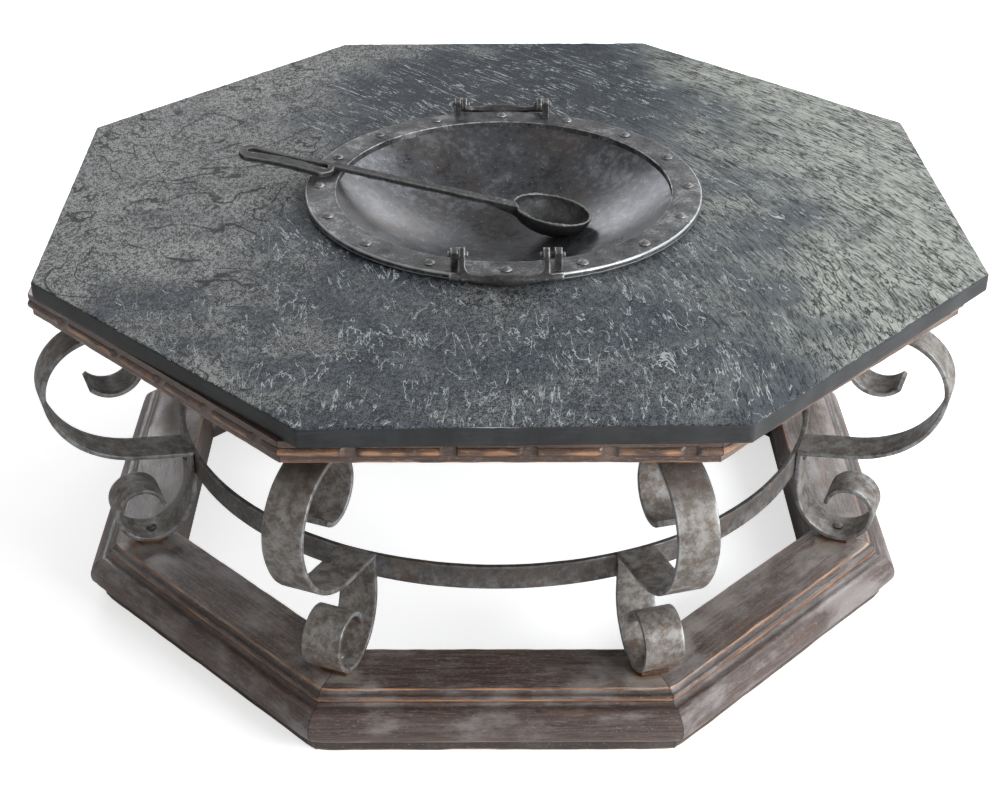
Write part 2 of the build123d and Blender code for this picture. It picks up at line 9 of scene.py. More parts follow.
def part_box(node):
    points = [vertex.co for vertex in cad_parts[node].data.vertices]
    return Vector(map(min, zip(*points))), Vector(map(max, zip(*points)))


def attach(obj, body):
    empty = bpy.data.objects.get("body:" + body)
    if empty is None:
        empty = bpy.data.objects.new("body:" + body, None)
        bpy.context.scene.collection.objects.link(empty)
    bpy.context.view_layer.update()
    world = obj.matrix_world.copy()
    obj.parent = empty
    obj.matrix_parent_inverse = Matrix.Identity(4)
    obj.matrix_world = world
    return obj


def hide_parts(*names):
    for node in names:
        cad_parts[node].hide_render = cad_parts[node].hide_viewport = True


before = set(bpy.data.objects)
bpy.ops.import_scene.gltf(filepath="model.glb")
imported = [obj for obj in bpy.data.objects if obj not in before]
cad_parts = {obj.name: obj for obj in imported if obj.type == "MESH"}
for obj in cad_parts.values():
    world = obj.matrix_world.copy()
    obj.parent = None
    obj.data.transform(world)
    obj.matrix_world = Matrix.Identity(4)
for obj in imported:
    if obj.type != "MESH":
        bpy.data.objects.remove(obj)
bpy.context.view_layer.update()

# ---- camera and studio ---------------------------------------------------------------------------
# The viewer stands in front of the table and looks down on it at about thirty degrees, with a
# medium long lens. The floor is plain and pale. Two broad windows light it from the right, two more
# stand behind it to either side, and a pale room fills the shadows.
camera = bpy.data.objects.new("camera", bpy.data.cameras.new("camera"))
bpy.context.scene.collection.objects.link(camera)
bpy.context.scene.camera = camera
camera.data.sensor_width = 36.0
camera.data.lens = 63.43
eye = (-0.0274, -2.0438, 1.4085)
yaw, pitch, roll = 0.0141, 0.5431, 0.0064
look = Vector((math.sin(yaw) * math.cos(pitch), math.cos(yaw) * math.cos(pitch), -math.sin(pitch)))
level_right = Vector((math.cos(yaw), -math.sin(yaw), 0))
level_up = level_right.cross(look)
camera_right = level_right * math.cos(roll) + level_up * math.sin(roll)
camera_up = level_up * math.cos(roll) - level_right * math.sin(roll)
facing = Matrix((camera_right, camera_up, -look)).transposed().to_4x4()
camera.matrix_world = Matrix.Translation(eye) @ facing
bpy.context.scene.view_settings.view_transform = "Standard"


def feed(tree, node, inputs):
    """Give a node its inputs: each is a number, a colour or another node's socket."""
    for name, value in inputs.items():
        if isinstance(value, bpy.types.NodeSocket):
            tree.links.new(value, node.inputs[name])
        else:
            node.inputs[name].default_value = value


def add_node(tree, kind, inputs=None, **settings):
    """One node with its settings and inputs."""
    node = tree.nodes.new(kind)
    for name, value in settings.items():
        setattr(node, name, value)
    feed(tree, node, inputs or {})
    return node


def sum_up(tree, operation, first, second=0.5, clamp=False):
    """Arithmetic on two values."""
    return add_node(tree, "ShaderNodeMath", {0: first, 1: second}, operation=operation,
                    use_clamp=clamp).outputs[0]


def times(tree, first, second, clamp=False):
    """The product of two values."""
    return sum_up(tree, "MULTIPLY", first, second, clamp)


def plus(tree, first, second):
    """The sum of two values."""
    return sum_up(tree, "ADD", first, second)


def new_material(name):
    """A material with a Principled shader, its node tree and that shader."""
    material = bpy.data.materials.new(name)
    material.use_nodes = True
    tree = material.node_tree
    tree.nodes.clear()
    shader = tree.nodes.new("ShaderNodeBsdfPrincipled")
    add_node(tree, "ShaderNodeOutputMaterial", {"Surface": shader.outputs[0]})
    return material, tree, shader


floor_reach, floor_drop = 9, -0.0005
floor_glow, fill_light, mirrored_share = 0.62, 0.34, 0.1
floor = bpy.data.objects.new("floor", bpy.data.meshes.new("floor"))
floor.data.from_pydata([(x * floor_reach, y * floor_reach, floor_drop)
                        for x, y in ((-1, -1), (1, -1), (1, 1), (-1, 1))], [], [(0, 1, 2, 3)])
bpy.context.scene.collection.objects.link(floor)
floor_paint, tree, shader = new_material("floor_paint")
seen = add_node(tree, "ShaderNodeLightPath")
shown = sum_up(tree, "MAXIMUM", seen.outputs["Is Camera Ray"], seen.outputs["Is Transmission Ray"])
feed(tree, shader, {"Base Color": (0.86, 0.86, 0.86, 1), "Roughness": 0.9, "Specular IOR Level": 0.0,
                    "Emission Color": (1, 1, 1, 1), "Emission Strength": times(tree, shown, floor_glow)})
floor.data.materials.append(floor_paint)

room = bpy.data.worlds.new("room")
bpy.context.scene.world = room
room.use_nodes = True
tree = room.node_tree
tree.nodes.clear()
seen = add_node(tree, "ShaderNodeLightPath")
shown = sum_up(tree, "MAXIMUM", seen.outputs["Is Camera Ray"], seen.outputs["Is Transmission Ray"])
shown = plus(tree, shown, times(tree, seen.outputs["Is Glossy Ray"], mirrored_share))
strength = plus(tree, fill_light, times(tree, shown, 1 - fill_light))
sky = add_node(tree, "ShaderNodeBackground", {"Color": (1, 1, 1, 1), "Strength": strength})
add_node(tree, "ShaderNodeOutputWorld", {"Surface": sky.outputs[0]})


def add_lamp(name, place, aim, width, power, colour):
    """A broad square lamp that points at aim."""
    lamp = bpy.data.objects.new(name, bpy.data.lights.new(name, "AREA"))
    lamp.data.size = width
    lamp.data.energy = power
    lamp.data.color = colour
    lamp.location = place
    lamp.rotation_euler = (Vector(aim) - Vector(place)).to_track_quat("-Z", "Y").to_euler()
    bpy.context.scene.collection.objects.link(lamp)


add_lamp("window", (2.6, 1.3, 2.2), (0.1, 0, 0.3), 1.7, 44, (0.94, 0.97, 1.0))
add_lamp("back_window_left", (-1.25, 3.1, 2.0), (-0.2, 0, 0.2), 1.3, 26, (0.96, 0.97, 1.0))
add_lamp("back_window_right", (1.35, 3.1, 2.0), (0.2, 0, 0.2), 1.1, 20, (0.96, 0.98, 1.0))
add_lamp("side_window", (2.5, -1.9, 1.5), (0, 0, 0.2), 1.8, 112, (0.97, 0.98, 1.0))

# ---- base: eight moulded rails of dark stained oak -----------------------------------------------
# The rails are mitred at the corners and glued over loose tongues. Years of feet and mops have worn
# the arrises back to orange-brown wood and left pale stains round the iron feet.
MM = 0.001
sides = 8
half_corner = math.radians(22.5)
stand_x = -8.1               # the base's middle, left of the whole table's; sizes are in millimetres


def arc_between(start, through, end, count):
    """Points along the arc through three points, without its end."""
    (ax, ay), (bx, by), (cx, cy) = start, through, end
    scale = 2 * (ax * (by - cy) + bx * (cy - ay) + cx * (ay - by))
    centre_x = ((ax * ax + ay * ay) * (by - cy) + (bx * bx + by * by) * (cy - ay)
                + (cx * cx + cy * cy) * (ay - by)) / scale
    centre_y = ((ax * ax + ay * ay) * (cx - bx) + (bx * bx + by * by) * (ax - cx)
                + (cx * cx + cy * cy) * (bx - ax)) / scale
    radius = math.hypot(ax - centre_x, ay - centre_y)
    first = math.atan2(ay - centre_y, ax - centre_x)
    turn = math.atan2(cy - centre_y, cx - centre_x) - first
    middle = math.atan2(by - centre_y, bx - centre_x) - first
    full = 2 * math.pi
    if (middle % full) > (turn % full):
        turn = turn % full - full
    else:
        turn %= full
    return [(centre_x + radius * math.cos(first + turn * i / count),
             centre_y + radius * math.sin(first + turn * i / count)) for i in range(count)]


def straight_between(start, end, count):
    """Points along a straight line, without its end."""
    return [(start[0] + (end[0] - start[0]) * i / count, start[1] + (end[1] - start[1]) * i / count)
            for i in range(count)]


def put_marks(mesh, marks):
    """Give a mesh its named values, one for each point."""
    for mark, values in marks.items():
        attribute = mesh.attributes.new(mark, "FLOAT", "POINT")
        attribute.data.foreach_set("value", np.asarray(values, np.float32).ravel())


def skin(name, rows, wrap_rows=False, capped=True, marks=None, sharp=40):
    """A mesh through a grid of points: each row is a closed loop. marks are values for each point."""
    count, around = rows.shape[:2]
    index = np.arange(count * around).reshape(count, around)
    following = np.roll(index, -1, axis=0)
    faces = []
    for i in range(count if wrap_rows else count - 1):
        a, b = index[i], following[i]
        faces += np.stack([a, np.roll(a, -1), np.roll(b, -1), b], axis=1).tolist()
    if capped and not wrap_rows:
        faces.append(index[0][::-1].tolist())
        faces.append(index[-1].tolist())
    mesh = bpy.data.meshes.new(name)
    mesh.from_pydata(rows.reshape(-1, 3).tolist(), [], faces)
    put_marks(mesh, marks or {})
    shaped = bmesh.new()
    shaped.from_mesh(mesh)
    bmesh.ops.recalc_face_normals(shaped, faces=shaped.faces)
    shaped.to_mesh(mesh)
    shaped.free()
    mesh.shade_smooth()
    mesh.set_sharp_from_angle(angle=math.radians(sharp))
    piece = bpy.data.objects.new(name, mesh)
    bpy.context.scene.collection.objects.link(piece)
    return piece


def roughness_at(points, size, seed, octaves=3):
    """Smooth random values of about -1 to 1 at points in metres.

    size is the width of a bump, or its widths along the three axes. Every use has a seed of its own,
    so that no two pieces are dented alike.
    """
    scaled = np.asarray(points, float).reshape(-1, 3) / np.asarray(size) + seed * 17.3
    values = [noise.fractal(Vector(p), 0.7, 2.0, octaves) for p in scaled]
    return np.array(values).reshape(np.asarray(points).shape[:-1])


def smooth_step(low, high, values):
    """0 below low, 1 above high, and a soft slope between."""
    t = np.clip((values - low) / (high - low), 0, 1)
    return t * t * (3 - 2 * t)


def place_side(piece, index, shift, lift=0.0):
    """Turn a rail made along Y, facing +X, to its side of the octagon."""
    piece.matrix_world = (Matrix.Translation((shift * MM, 0, lift))
                          @ Matrix.Rotation(math.radians(45 * index), 4, "Z"))


def new_group(name, inputs, outputs):
    """A shader node group with named sockets; gives its tree, its inputs and its output node."""
    tree = bpy.data.node_groups.new(name, "ShaderNodeTree")
    for label, (kind, value) in inputs.items():
        socket = tree.interface.new_socket(label, in_out="INPUT", socket_type="NodeSocket" + kind)
        if value is not None:
            socket.default_value = value
    for label, kind in outputs.items():
        tree.interface.new_socket(label, in_out="OUTPUT", socket_type="NodeSocket" + kind)
    given = tree.nodes.new("NodeGroupInput")
    return tree, given.outputs, tree.nodes.new("NodeGroupOutput")


def use_group(tree, group, inputs):
    """Place a node group in a material."""
    node = tree.nodes.new("ShaderNodeGroup")
    node.node_tree = group
    feed(tree, node, inputs)
    return node.outputs


def minus(tree, first, second):
    """One value less another."""
    return sum_up(tree, "SUBTRACT", first, second)


def band(tree, value, low, high):
    """0 below low and 1 above high, with a soft slope."""
    return add_node(tree, "ShaderNodeMapRange", {0: value, 1: low, 2: high},
                    interpolation_type="SMOOTHSTEP").outputs[0]


def from_to(tree, value, low, high, start, end):
    """start where the value is low, end where it is high, and straight between."""
    return add_node(tree, "ShaderNodeMapRange", {0: value, 1: low, 2: high, 3: start, 4: end}).outputs[0]


def mix_colour(tree, share, first, second, kind="MIX"):
    """One colour over another by a share."""
    return add_node(tree, "ShaderNodeMix", {0: share, 6: first, 7: second}, data_type="RGBA",
                    blend_type=kind).outputs[2]


def lay_over(tree, colour, film, mask, amount):
    """A film of another colour over what is there, where the mask is and by an amount."""
    return mix_colour(tree, times(tree, mask, amount), colour, film)


def mark_value(tree, name):
    """A value that the mesh carries at each point."""
    return add_node(tree, "ShaderNodeAttribute", attribute_name=name).outputs["Fac"]


def own_place(tree):
    """Where a point lies on its piece."""
    return add_node(tree, "ShaderNodeTexCoord").outputs["Object"]


def board_place(tree, board):
    """The same, moved by the board's own number, so that no two boards have the same figure."""
    offset = add_node(tree, "ShaderNodeCombineXYZ", {"X": board, "Y": board, "Z": board}).outputs[0]
    return add_node(tree, "ShaderNodeVectorMath", {0: own_place(tree), 1: offset},
                    operation="ADD").outputs[0]


def height_above(tree, place, board):
    """Height on the piece, from a place that was moved by the board's number."""
    return minus(tree, add_node(tree, "ShaderNodeSeparateXYZ", {0: place}).outputs[2], board)


def bump_from(tree, relief, strength, depth):
    """A normal bent by a relief; depth is in metres."""
    return add_node(tree, "ShaderNodeBump", {"Strength": strength, "Distance": depth,
                                             "Height": relief}).outputs[0]


def stretched(tree, source, stretch, turn=0.0):
    """Coordinates scaled apart along each axis, after a turn about Z."""
    turned = add_node(tree, "ShaderNodeMapping", {"Vector": source, "Rotation": (0, 0, turn)})
    return add_node(tree, "ShaderNodeMapping", {"Vector": turned.outputs[0], "Scale": stretch}).outputs[0]


def grain_noise(tree, source, size, detail=4.0, rough=0.6, distort=0.0):
    """Fractal noise; size is its scale."""
    return add_node(tree, "ShaderNodeTexNoise", {"Vector": source, "Scale": size, "Detail": detail,
                                                 "Roughness": rough, "Distortion": distort}).outputs[0]


def drawn_noise(tree, source, stretch, detail, rough=0.6, distort=0.0, turn=0.0):
    """Fractal noise with its own scale along each axis."""
    return grain_noise(tree, stretched(tree, source, stretch, turn), 1.0, detail, rough, distort)


# Wear along edges: the mesh's own edge mark, broken up by noise.
worn, given, result = new_group(
    "worn_edge", {"Edge": ("Float", 0.0), "Place": ("Vector", None), "Size": ("Float", 60.0),
                  "Amount": ("Float", 0.5)}, {"Mask": "Float"})
breakup = grain_noise(worn, given["Place"], given["Size"], 5.0, 0.7)
reach = times(worn, given["Edge"], plus(worn, breakup, 0.35))
low = minus(worn, 1.0, given["Amount"])
feed(worn, result, {"Mask": band(worn, reach, times(worn, low, 0.6), plus(worn, low, 0.25))})

# Flecks: small spots scattered at random, some larger than others.
flecks, given, result = new_group(
    "flecks", {"Place": ("Vector", None), "Size": ("Float", 200.0), "Amount": ("Float", 0.3)},
    {"Mask": "Float"})
cells = add_node(flecks, "ShaderNodeTexVoronoi", {"Vector": given["Place"], "Scale": given["Size"]})
chance = add_node(flecks, "ShaderNodeSeparateColor", {"Color": cells.outputs["Color"]}).outputs[0]
limit = times(flecks, minus(flecks, given["Amount"], chance), 1.2)
edge = minus(flecks, limit, cells.outputs["Distance"])
feed(flecks, result, {"Mask": band(flecks, edge, -0.02, 0.12)})


def fleck_mask(tree, place, size, amount):
    """Flecks in a material."""
    return use_group(tree, flecks, {"Place": place, "Size": size, "Amount": amount})[0]


def wear_mask(tree, place, size, amount):
    """Worn edges in a material."""
    return use_group(tree, worn, {"Edge": mark_value(tree, "edge"), "Place": place, "Size": size,
                                  "Amount": amount})[0]


# Blotches: two noises of different size that lay three colours over one another.
blotches, given, result = new_group(
    "blotches", {"Place": ("Vector", None), "Size": ("Float", 20.0), "Low": ("Color", (0, 0, 0, 1)),
                 "Middle": ("Color", (0.5, 0.5, 0.5, 1)), "High": ("Color", (1, 1, 1, 1))},
    {"Color": "Color", "Height": "Float"})
broad = grain_noise(blotches, given["Place"], given["Size"], 6.0, 0.65)
fine = grain_noise(blotches, given["Place"], times(blotches, given["Size"], 9.0), 5.0, 0.7)
both = plus(blotches, times(blotches, broad, 0.6), times(blotches, fine, 0.4))
lower = mix_colour(blotches, band(blotches, both, 0.38, 0.49), given["Low"], given["Middle"])
upper = mix_colour(blotches, band(blotches, both, 0.50, 0.61), lower, given["High"])
feed(blotches, result, {"Color": upper, "Height": both})


def blotch(tree, place, size, low, middle, high):
    """Blotches in a material: their colour, and their height for a relief."""
    return use_group(tree, blotches, {"Place": place, "Size": size, "Low": low, "Middle": middle,
                                      "High": high})


def make_oak(name, stain, sheen, orange):
    """Stained oak whose grain runs along Y of the piece. orange is how far wear shows the bare wood."""
    material, tree, shader = new_material(name)
    pore_dark = (0.012, 0.009, 0.009, 1)
    warm_brown = (0.15, 0.062, 0.030, 1)
    plinth_shade_colour = (0.040, 0.036, 0.030, 1)
    bare_dark = (0.19, 0.072, 0.028, 1)
    bare_light = (0.52, 0.28, 0.145, 1)
    scratch_grey = (0.36, 0.34, 0.34, 1)
    speckle_grey = (0.33, 0.31, 0.30, 1)
    crumb_pale = (0.52, 0.48, 0.45, 1)
    mop_stain_and_top_light = (0.42, 0.385, 0.345, 1)
    rust_red = (0.22, 0.09, 0.035, 1)
    joint_and_groove_shade_dark = (0.01, 0.007, 0.005, 1)
    board = mark_value(tree, "board")
    place = board_place(tree, board)
    grain = drawn_noise(tree, place, (400, 15, 400), 5.0, 0.68, 0.4)
    pores = drawn_noise(tree, place, (900, 42, 900), 3.0, 0.6)
    broad = drawn_noise(tree, place, (20, 8, 20), 5.0, 0.65)
    dark = tuple(c * 0.5 for c in stain[:3]) + (1,)
    colour = mix_colour(tree, band(tree, grain, 0.38, 0.62), dark, stain)
    colour = lay_over(tree, colour, pore_dark, band(tree, pores, 0.52, 0.64), 0.4)
    # Painted sheen: the paler sheen colour laid in broad patches stands in for light reflected off the
    # varnish.
    colour = lay_over(tree, colour, sheen, band(tree, broad, 0.46, 0.66), 0.6)
    warm = drawn_noise(tree, place, (50, 9, 50), 5.0, 0.7)
    colour = lay_over(tree, colour, warm_brown, band(tree, warm, 0.55, 0.68), 0.45)
    # Painted shade: the plinth, tucked under the flare's overhang, is darkened.
    plinth_shade_band = band(tree, minus(tree, 0.019, height_above(tree, place, board)), 0.0, 0.003)
    colour = lay_over(tree, colour, plinth_shade_colour, plinth_shade_band, 0.7)
    wear = wear_mask(tree, stretched(tree, place, (90, 16, 90)), 1.0, orange)
    bare = mix_colour(tree, band(tree, grain, 0.35, 0.65), bare_dark,
                      bare_light)
    colour = mix_colour(tree, wear, colour, bare)
    scratch = drawn_noise(tree, place, (420, 30, 420), 3.0, 0.6, turn=0.12)
    scratches = times(tree, band(tree, scratch, 0.63, 0.72), 0.4)
    colour = mix_colour(tree, scratches, colour, scratch_grey)
    speckle = drawn_noise(tree, place, (420, 170, 420), 3.0, 0.7)
    colour = lay_over(tree, colour, speckle_grey, band(tree, speckle, 0.56, 0.70), 0.35)
    spots = fleck_mask(tree, place, 230.0, 0.16)
    crumbs = fleck_mask(tree, place, 480.0, 0.2)
    spots = times(tree, sum_up(tree, "MAXIMUM", spots, crumbs), 0.75)
    colour = mix_colour(tree, spots, colour, crumb_pale)
    # The pale film is a real mop stain round the feet; over the rest of the top faces it is partly
    # painted light that makes the tops paler.
    stained = mark_value(tree, "stain")
    film = plus(tree, stained, times(tree, plus(tree, grain, speckle), 0.7))
    film = times(tree, band(tree, film, 0.95, 1.9), 0.56)
    colour = mix_colour(tree, film, colour, mop_stain_and_top_light)
    rust = mark_value(tree, "rust")
    rusty = band(tree, times(tree, rust, plus(tree, warm, 0.5)), 0.35, 0.8)
    colour = lay_over(tree, colour, rust_red, rusty, 0.75)
    # Dark lines at the mitre joints, and on the base painted shade in the grooves beside the bead.
    joint_and_groove_shade = mark_value(tree, "joint_and_groove_shade")
    colour = lay_over(tree, colour, joint_and_groove_shade_dark, joint_and_groove_shade, 0.9)
    gloss = plus(tree, from_to(tree, broad, 0.3, 0.7, 0.42, 0.24), times(tree, film, 0.3))
    relief = minus(tree, times(tree, grain, 0.6), times(tree, band(tree, pores, 0.52, 0.62), 0.35))
    relief = minus(tree, relief, scratches)
    feed(tree, shader, {"Base Color": colour, "Roughness": gloss, "Specular IOR Level": 0.7,
                        "Normal": bump_from(tree, relief, 0.35, 0.0006)})
    return material


base_oak = make_oak("base_oak", (0.125, 0.084, 0.070, 1), (0.345, 0.32, 0.315, 1), 0.72)
base_inner, base_arris, base_height = 414.0, 486.0, 76.0
bead_reach, bead_low, bead_high = 493.0, 62.0, 70.0
flare, flare_height = 519.0, 40.0
plinth_face, plinth_height = 504.5, 18.0
shoulder = (503.9, 58.0)
lip = (511.75, plinth_height)
bead_crown = (bead_reach + 2, 66)
foot_line, foot_aside = 443.3, 183.6          # the feet, from the middle and along each rail
stain_reach, rust_reach = 70, 26              # how far each spreads round a foot
base_profile = (
    straight_between((base_inner, 0), (plinth_face, 0), 3)
    + straight_between((plinth_face, 0), (plinth_face, plinth_height), 5)
    + straight_between((plinth_face, plinth_height), lip, 3)
    + arc_between(lip, (flare, flare_height), shoulder, 16)
    + arc_between(shoulder, (497.5, 59.0), (bead_reach, bead_low), 6)
    + arc_between((bead_reach, bead_low), bead_crown, (bead_reach, bead_high), 8)
    + arc_between((bead_reach, bead_high), (488.1, 71.8), (base_arris, base_height), 6)
    + straight_between((base_arris, base_height), (base_inner, base_height), 24)
    + straight_between((base_inner, base_height), (base_inner, 0), 8))
base_profile = np.array(base_profile)


def profile_wear(profile, arrises, reach):
    """How near each point of a profile is to one of its arrises, 0 to 1."""
    near = np.zeros(len(profile))
    for x, z in arrises:
        far = np.hypot(profile[:, 0] - x, profile[:, 1] - z)
        near = np.maximum(near, 1 - np.clip(far / reach, 0, 1))
    return near


def along_rail(profile, spots):
    """Grid of points: the profile at each spot from -1 to 1 along the mitred rail."""
    reach = profile[:, 0] * math.tan(half_corner)
    rows = np.zeros((len(spots), len(profile), 3))
    rows[:, :, 0] = profile[:, 0]
    rows[:, :, 1] = np.outer(spots, reach)
    rows[:, :, 2] = profile[:, 1]
    return rows


def joint_mark(spots, start, around):
    """The dark line where two rails meet, for a profile of so many points."""
    return np.repeat(smooth_step(start, 1.0, np.abs(spots))[:, None], around, axis=1)


end_spots = np.array([0.0, 0.006, 0.014, 0.026, 0.045, 0.07])
rail_spots = np.concatenate([-1 + end_spots, np.linspace(-0.9, 0.9, 56), 1 - end_spots[::-1]])
worn_arrises = [(base_arris, base_height), bead_crown, (base_inner, base_height), lip, (plinth_face, 1)]
wear_line = profile_wear(base_profile, worn_arrises, 3.0)
wear_line = np.maximum(wear_line, 0.75 * profile_wear(base_profile, [(lip[0] + 2, lip[1] + 4)], 7.0))
mitre_gap = 0.0006           # each rail is shorter by this share, so that its joints can be seen
# Painted shade: dark lines in the grooves on both sides of the bead, carried with the joints' dark lines.
groove_shade = 0.8 * profile_wear(base_profile, [(498.5, 58.8), (490.0, 71.4)], 4.0)
for index in range(sides):
    rows = along_rail(base_profile, rail_spots)
    world = rows * MM
    dents = roughness_at(world, (0.02, 0.06, 0.02), 3 + index)
    waves = roughness_at(world, (0.2, 0.3, 0.2), 20 + index)
    ends = smooth_step(0.93, 1.0, np.abs(rail_spots))[:, None]
    soft = np.clip(wear_line[None, :] * (0.35 + dents), 0, 1)
    inward = soft * 1.3 + ends * (0.5 + 1.6 * wear_line[None, :])
    outer = rows[:, :, 0] > base_inner + 5
    rows[:, :, 0] -= np.where(outer, inward, -0.4 * soft)
    top = rows[:, :, 2] > base_height - 0.5
    rows[:, :, 2] -= np.where(top, soft * 0.8 + 0.25 * (1 + waves) * 0.5, 0)
    rows[:, :, 1] *= 1 - mitre_gap
    from_foot = np.hypot(rows[:, :, 0] - foot_line, np.abs(rows[:, :, 1]) - foot_aside)
    # The stain mark is a real pale stain round each foot; its floor of about a half over every top face
    # is painted light on the tops.
    flat = (rows[:, :, 2] > base_height - 3).astype(float)
    patch = roughness_at(world, 0.05, 60 + index)
    stain = flat * np.clip(1.2 - from_foot / stain_reach + 0.9 * patch, 0.5 + 0.25 * waves, 1)
    stain += 0.35 * np.clip(patch, 0, 1)
    rust = flat * np.clip(1.3 - from_foot / rust_reach + 0.7 * dents, 0, 1)
    joint_and_groove_shade = joint_mark(rail_spots, 0.9955, len(base_profile))
    joint_and_groove_shade = np.maximum(joint_and_groove_shade, groove_shade[None, :] * np.clip(0.9 + 0.6 * dents, 0, 1))
    edge = np.clip(wear_line[None, :] * (0.8 + 0.5 * dents) + 0.3 * ends * wear_line[None, :], 0, 1)
    rail = skin(f"oak_base_rail_{index + 1}", rows * MM, marks={
        "edge": edge, "board": np.full(rows.shape[:2], 3.7 * index + 0.4), "stain": stain,
        "rust": rust, "joint_and_groove_shade": joint_and_groove_shade})
    rail.data.materials.append(base_oak)
    place_side(rail, index, stand_x)
    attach(rail, "stand")
    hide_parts(f"base_rail_{index + 1}")

# ---- tongues in the base's mitres ----------------------------------------------------------------
# A loose hardwood tongue lies across each mitre, inside the rails. It is only seen when the table is
# taken apart.
tongue_wood = make_oak("tongue_wood", (0.16, 0.10, 0.06, 1), (0.22, 0.15, 0.09, 1), 0.1)
for node in ("base_mitre_keys", "bearer_mitre_keys"):
    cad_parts[node].data.materials.clear()
    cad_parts[node].data.materials.append(tongue_wood)

# ---- legs: eight scrolls of flat iron bar --------------------------------------------------------
# Each leg is one bar, bent sharply at the hoop and rolled into a scroll at both ends. The iron is bare
# and brown-grey, with rust tints, a warm painted light on the upturned inside of each lower scroll, and
# its long side edges rubbed bright.
iron_x = stand_x + 2.0       # the irons' middle, a little to the right on the base
bar_width, bar_thickness = 48.0, 6.0
corner_reach, corner_height = 423.3, 200.5
foot_straight, arm_straight, arm_slope = 45.5, 65.0, 9.5
foot_bends = ((77, -45), (48, 0), (43, 90), (31, 180), (28, 265))
arm_bends = ((147, 30), (112, 80), (68, 150), (83, 180), (45, 270), (36, 410))
leg_turns = (0, 0, 0, 0, 0, 0, -6.5, 0)
bar_step = 2.6               # length of the mesh's steps along the bar


def bar_line(heading, straight, bends):
    """Points along the middle of a bar, and its heading at each: a straight, then bends to the left."""
    x, y = 0.0, 0.0
    line = []
    pieces = [(None, heading, straight)]
    now = heading
    for radius, end in bends:
        pieces.append((radius, now, end))
        now = end
    for radius, begin, value in pieces:
        if radius is None:
            steps = max(2, int(value / bar_step))
            for i in range(steps):
                far = value * i / steps
                line.append((x + far * math.cos(math.radians(begin)),
                             y + far * math.sin(math.radians(begin)), begin))
            x += value * math.cos(math.radians(begin))
            y += value * math.sin(math.radians(begin))
            continue
        centre_x = x - radius * math.sin(math.radians(begin))
        centre_y = y + radius * math.cos(math.radians(begin))
        steps = max(3, int(radius * math.radians(value - begin) / bar_step))
        for i in range(steps):
            angle = begin + (value - begin) * i / steps
            line.append((centre_x + radius * math.sin(math.radians(angle)),
                         centre_y - radius * math.cos(math.radians(angle)), angle))
        x = centre_x + radius * math.sin(math.radians(value))
        y = centre_y - radius * math.cos(math.radians(value))
    line.append((x, y, now))
    return line


def bar_section(width, thickness, rounding, across):
    """Loop of points round a flat bar's section, with rounded edges, and how near each is to an edge."""
    half_w, half_t = width / 2, thickness / 2
    spread = np.linspace(-half_w + rounding, half_w - rounding, across)
    points = [(half_t, w) for w in spread]
    near = [max(0.0, 0.8 - (half_w - rounding - abs(w)) / 5.0) for w in spread]
    corner = [(half_t - rounding * (1 - math.cos(math.radians(angle))),
               half_w - rounding + rounding * math.sin(math.radians(angle))) for angle in (30, 60)]
    corner.append((half_t - rounding, half_w))
    points += corner + [(0, half_w)] + [(-x, w) for x, w in corner[::-1]]
    near += [1.0, 1.0, 1.0, 0.8, 1.0, 1.0, 1.0]
    points = np.array(points)
    return np.concatenate([points, -points]), np.array(near + near)


foot_part = bar_line(-90, foot_straight, foot_bends)
arm_part = bar_line(arm_slope, arm_straight, arm_bends)
line = [(x, y, heading + 180) for x, y, heading in foot_part[:0:-1]]
line.append((0.0, 0.0, None))        # the sharp corner has no heading of its own
line += arm_part[1:]
section, near_edge = bar_section(bar_width, bar_thickness, 1.1, 9)


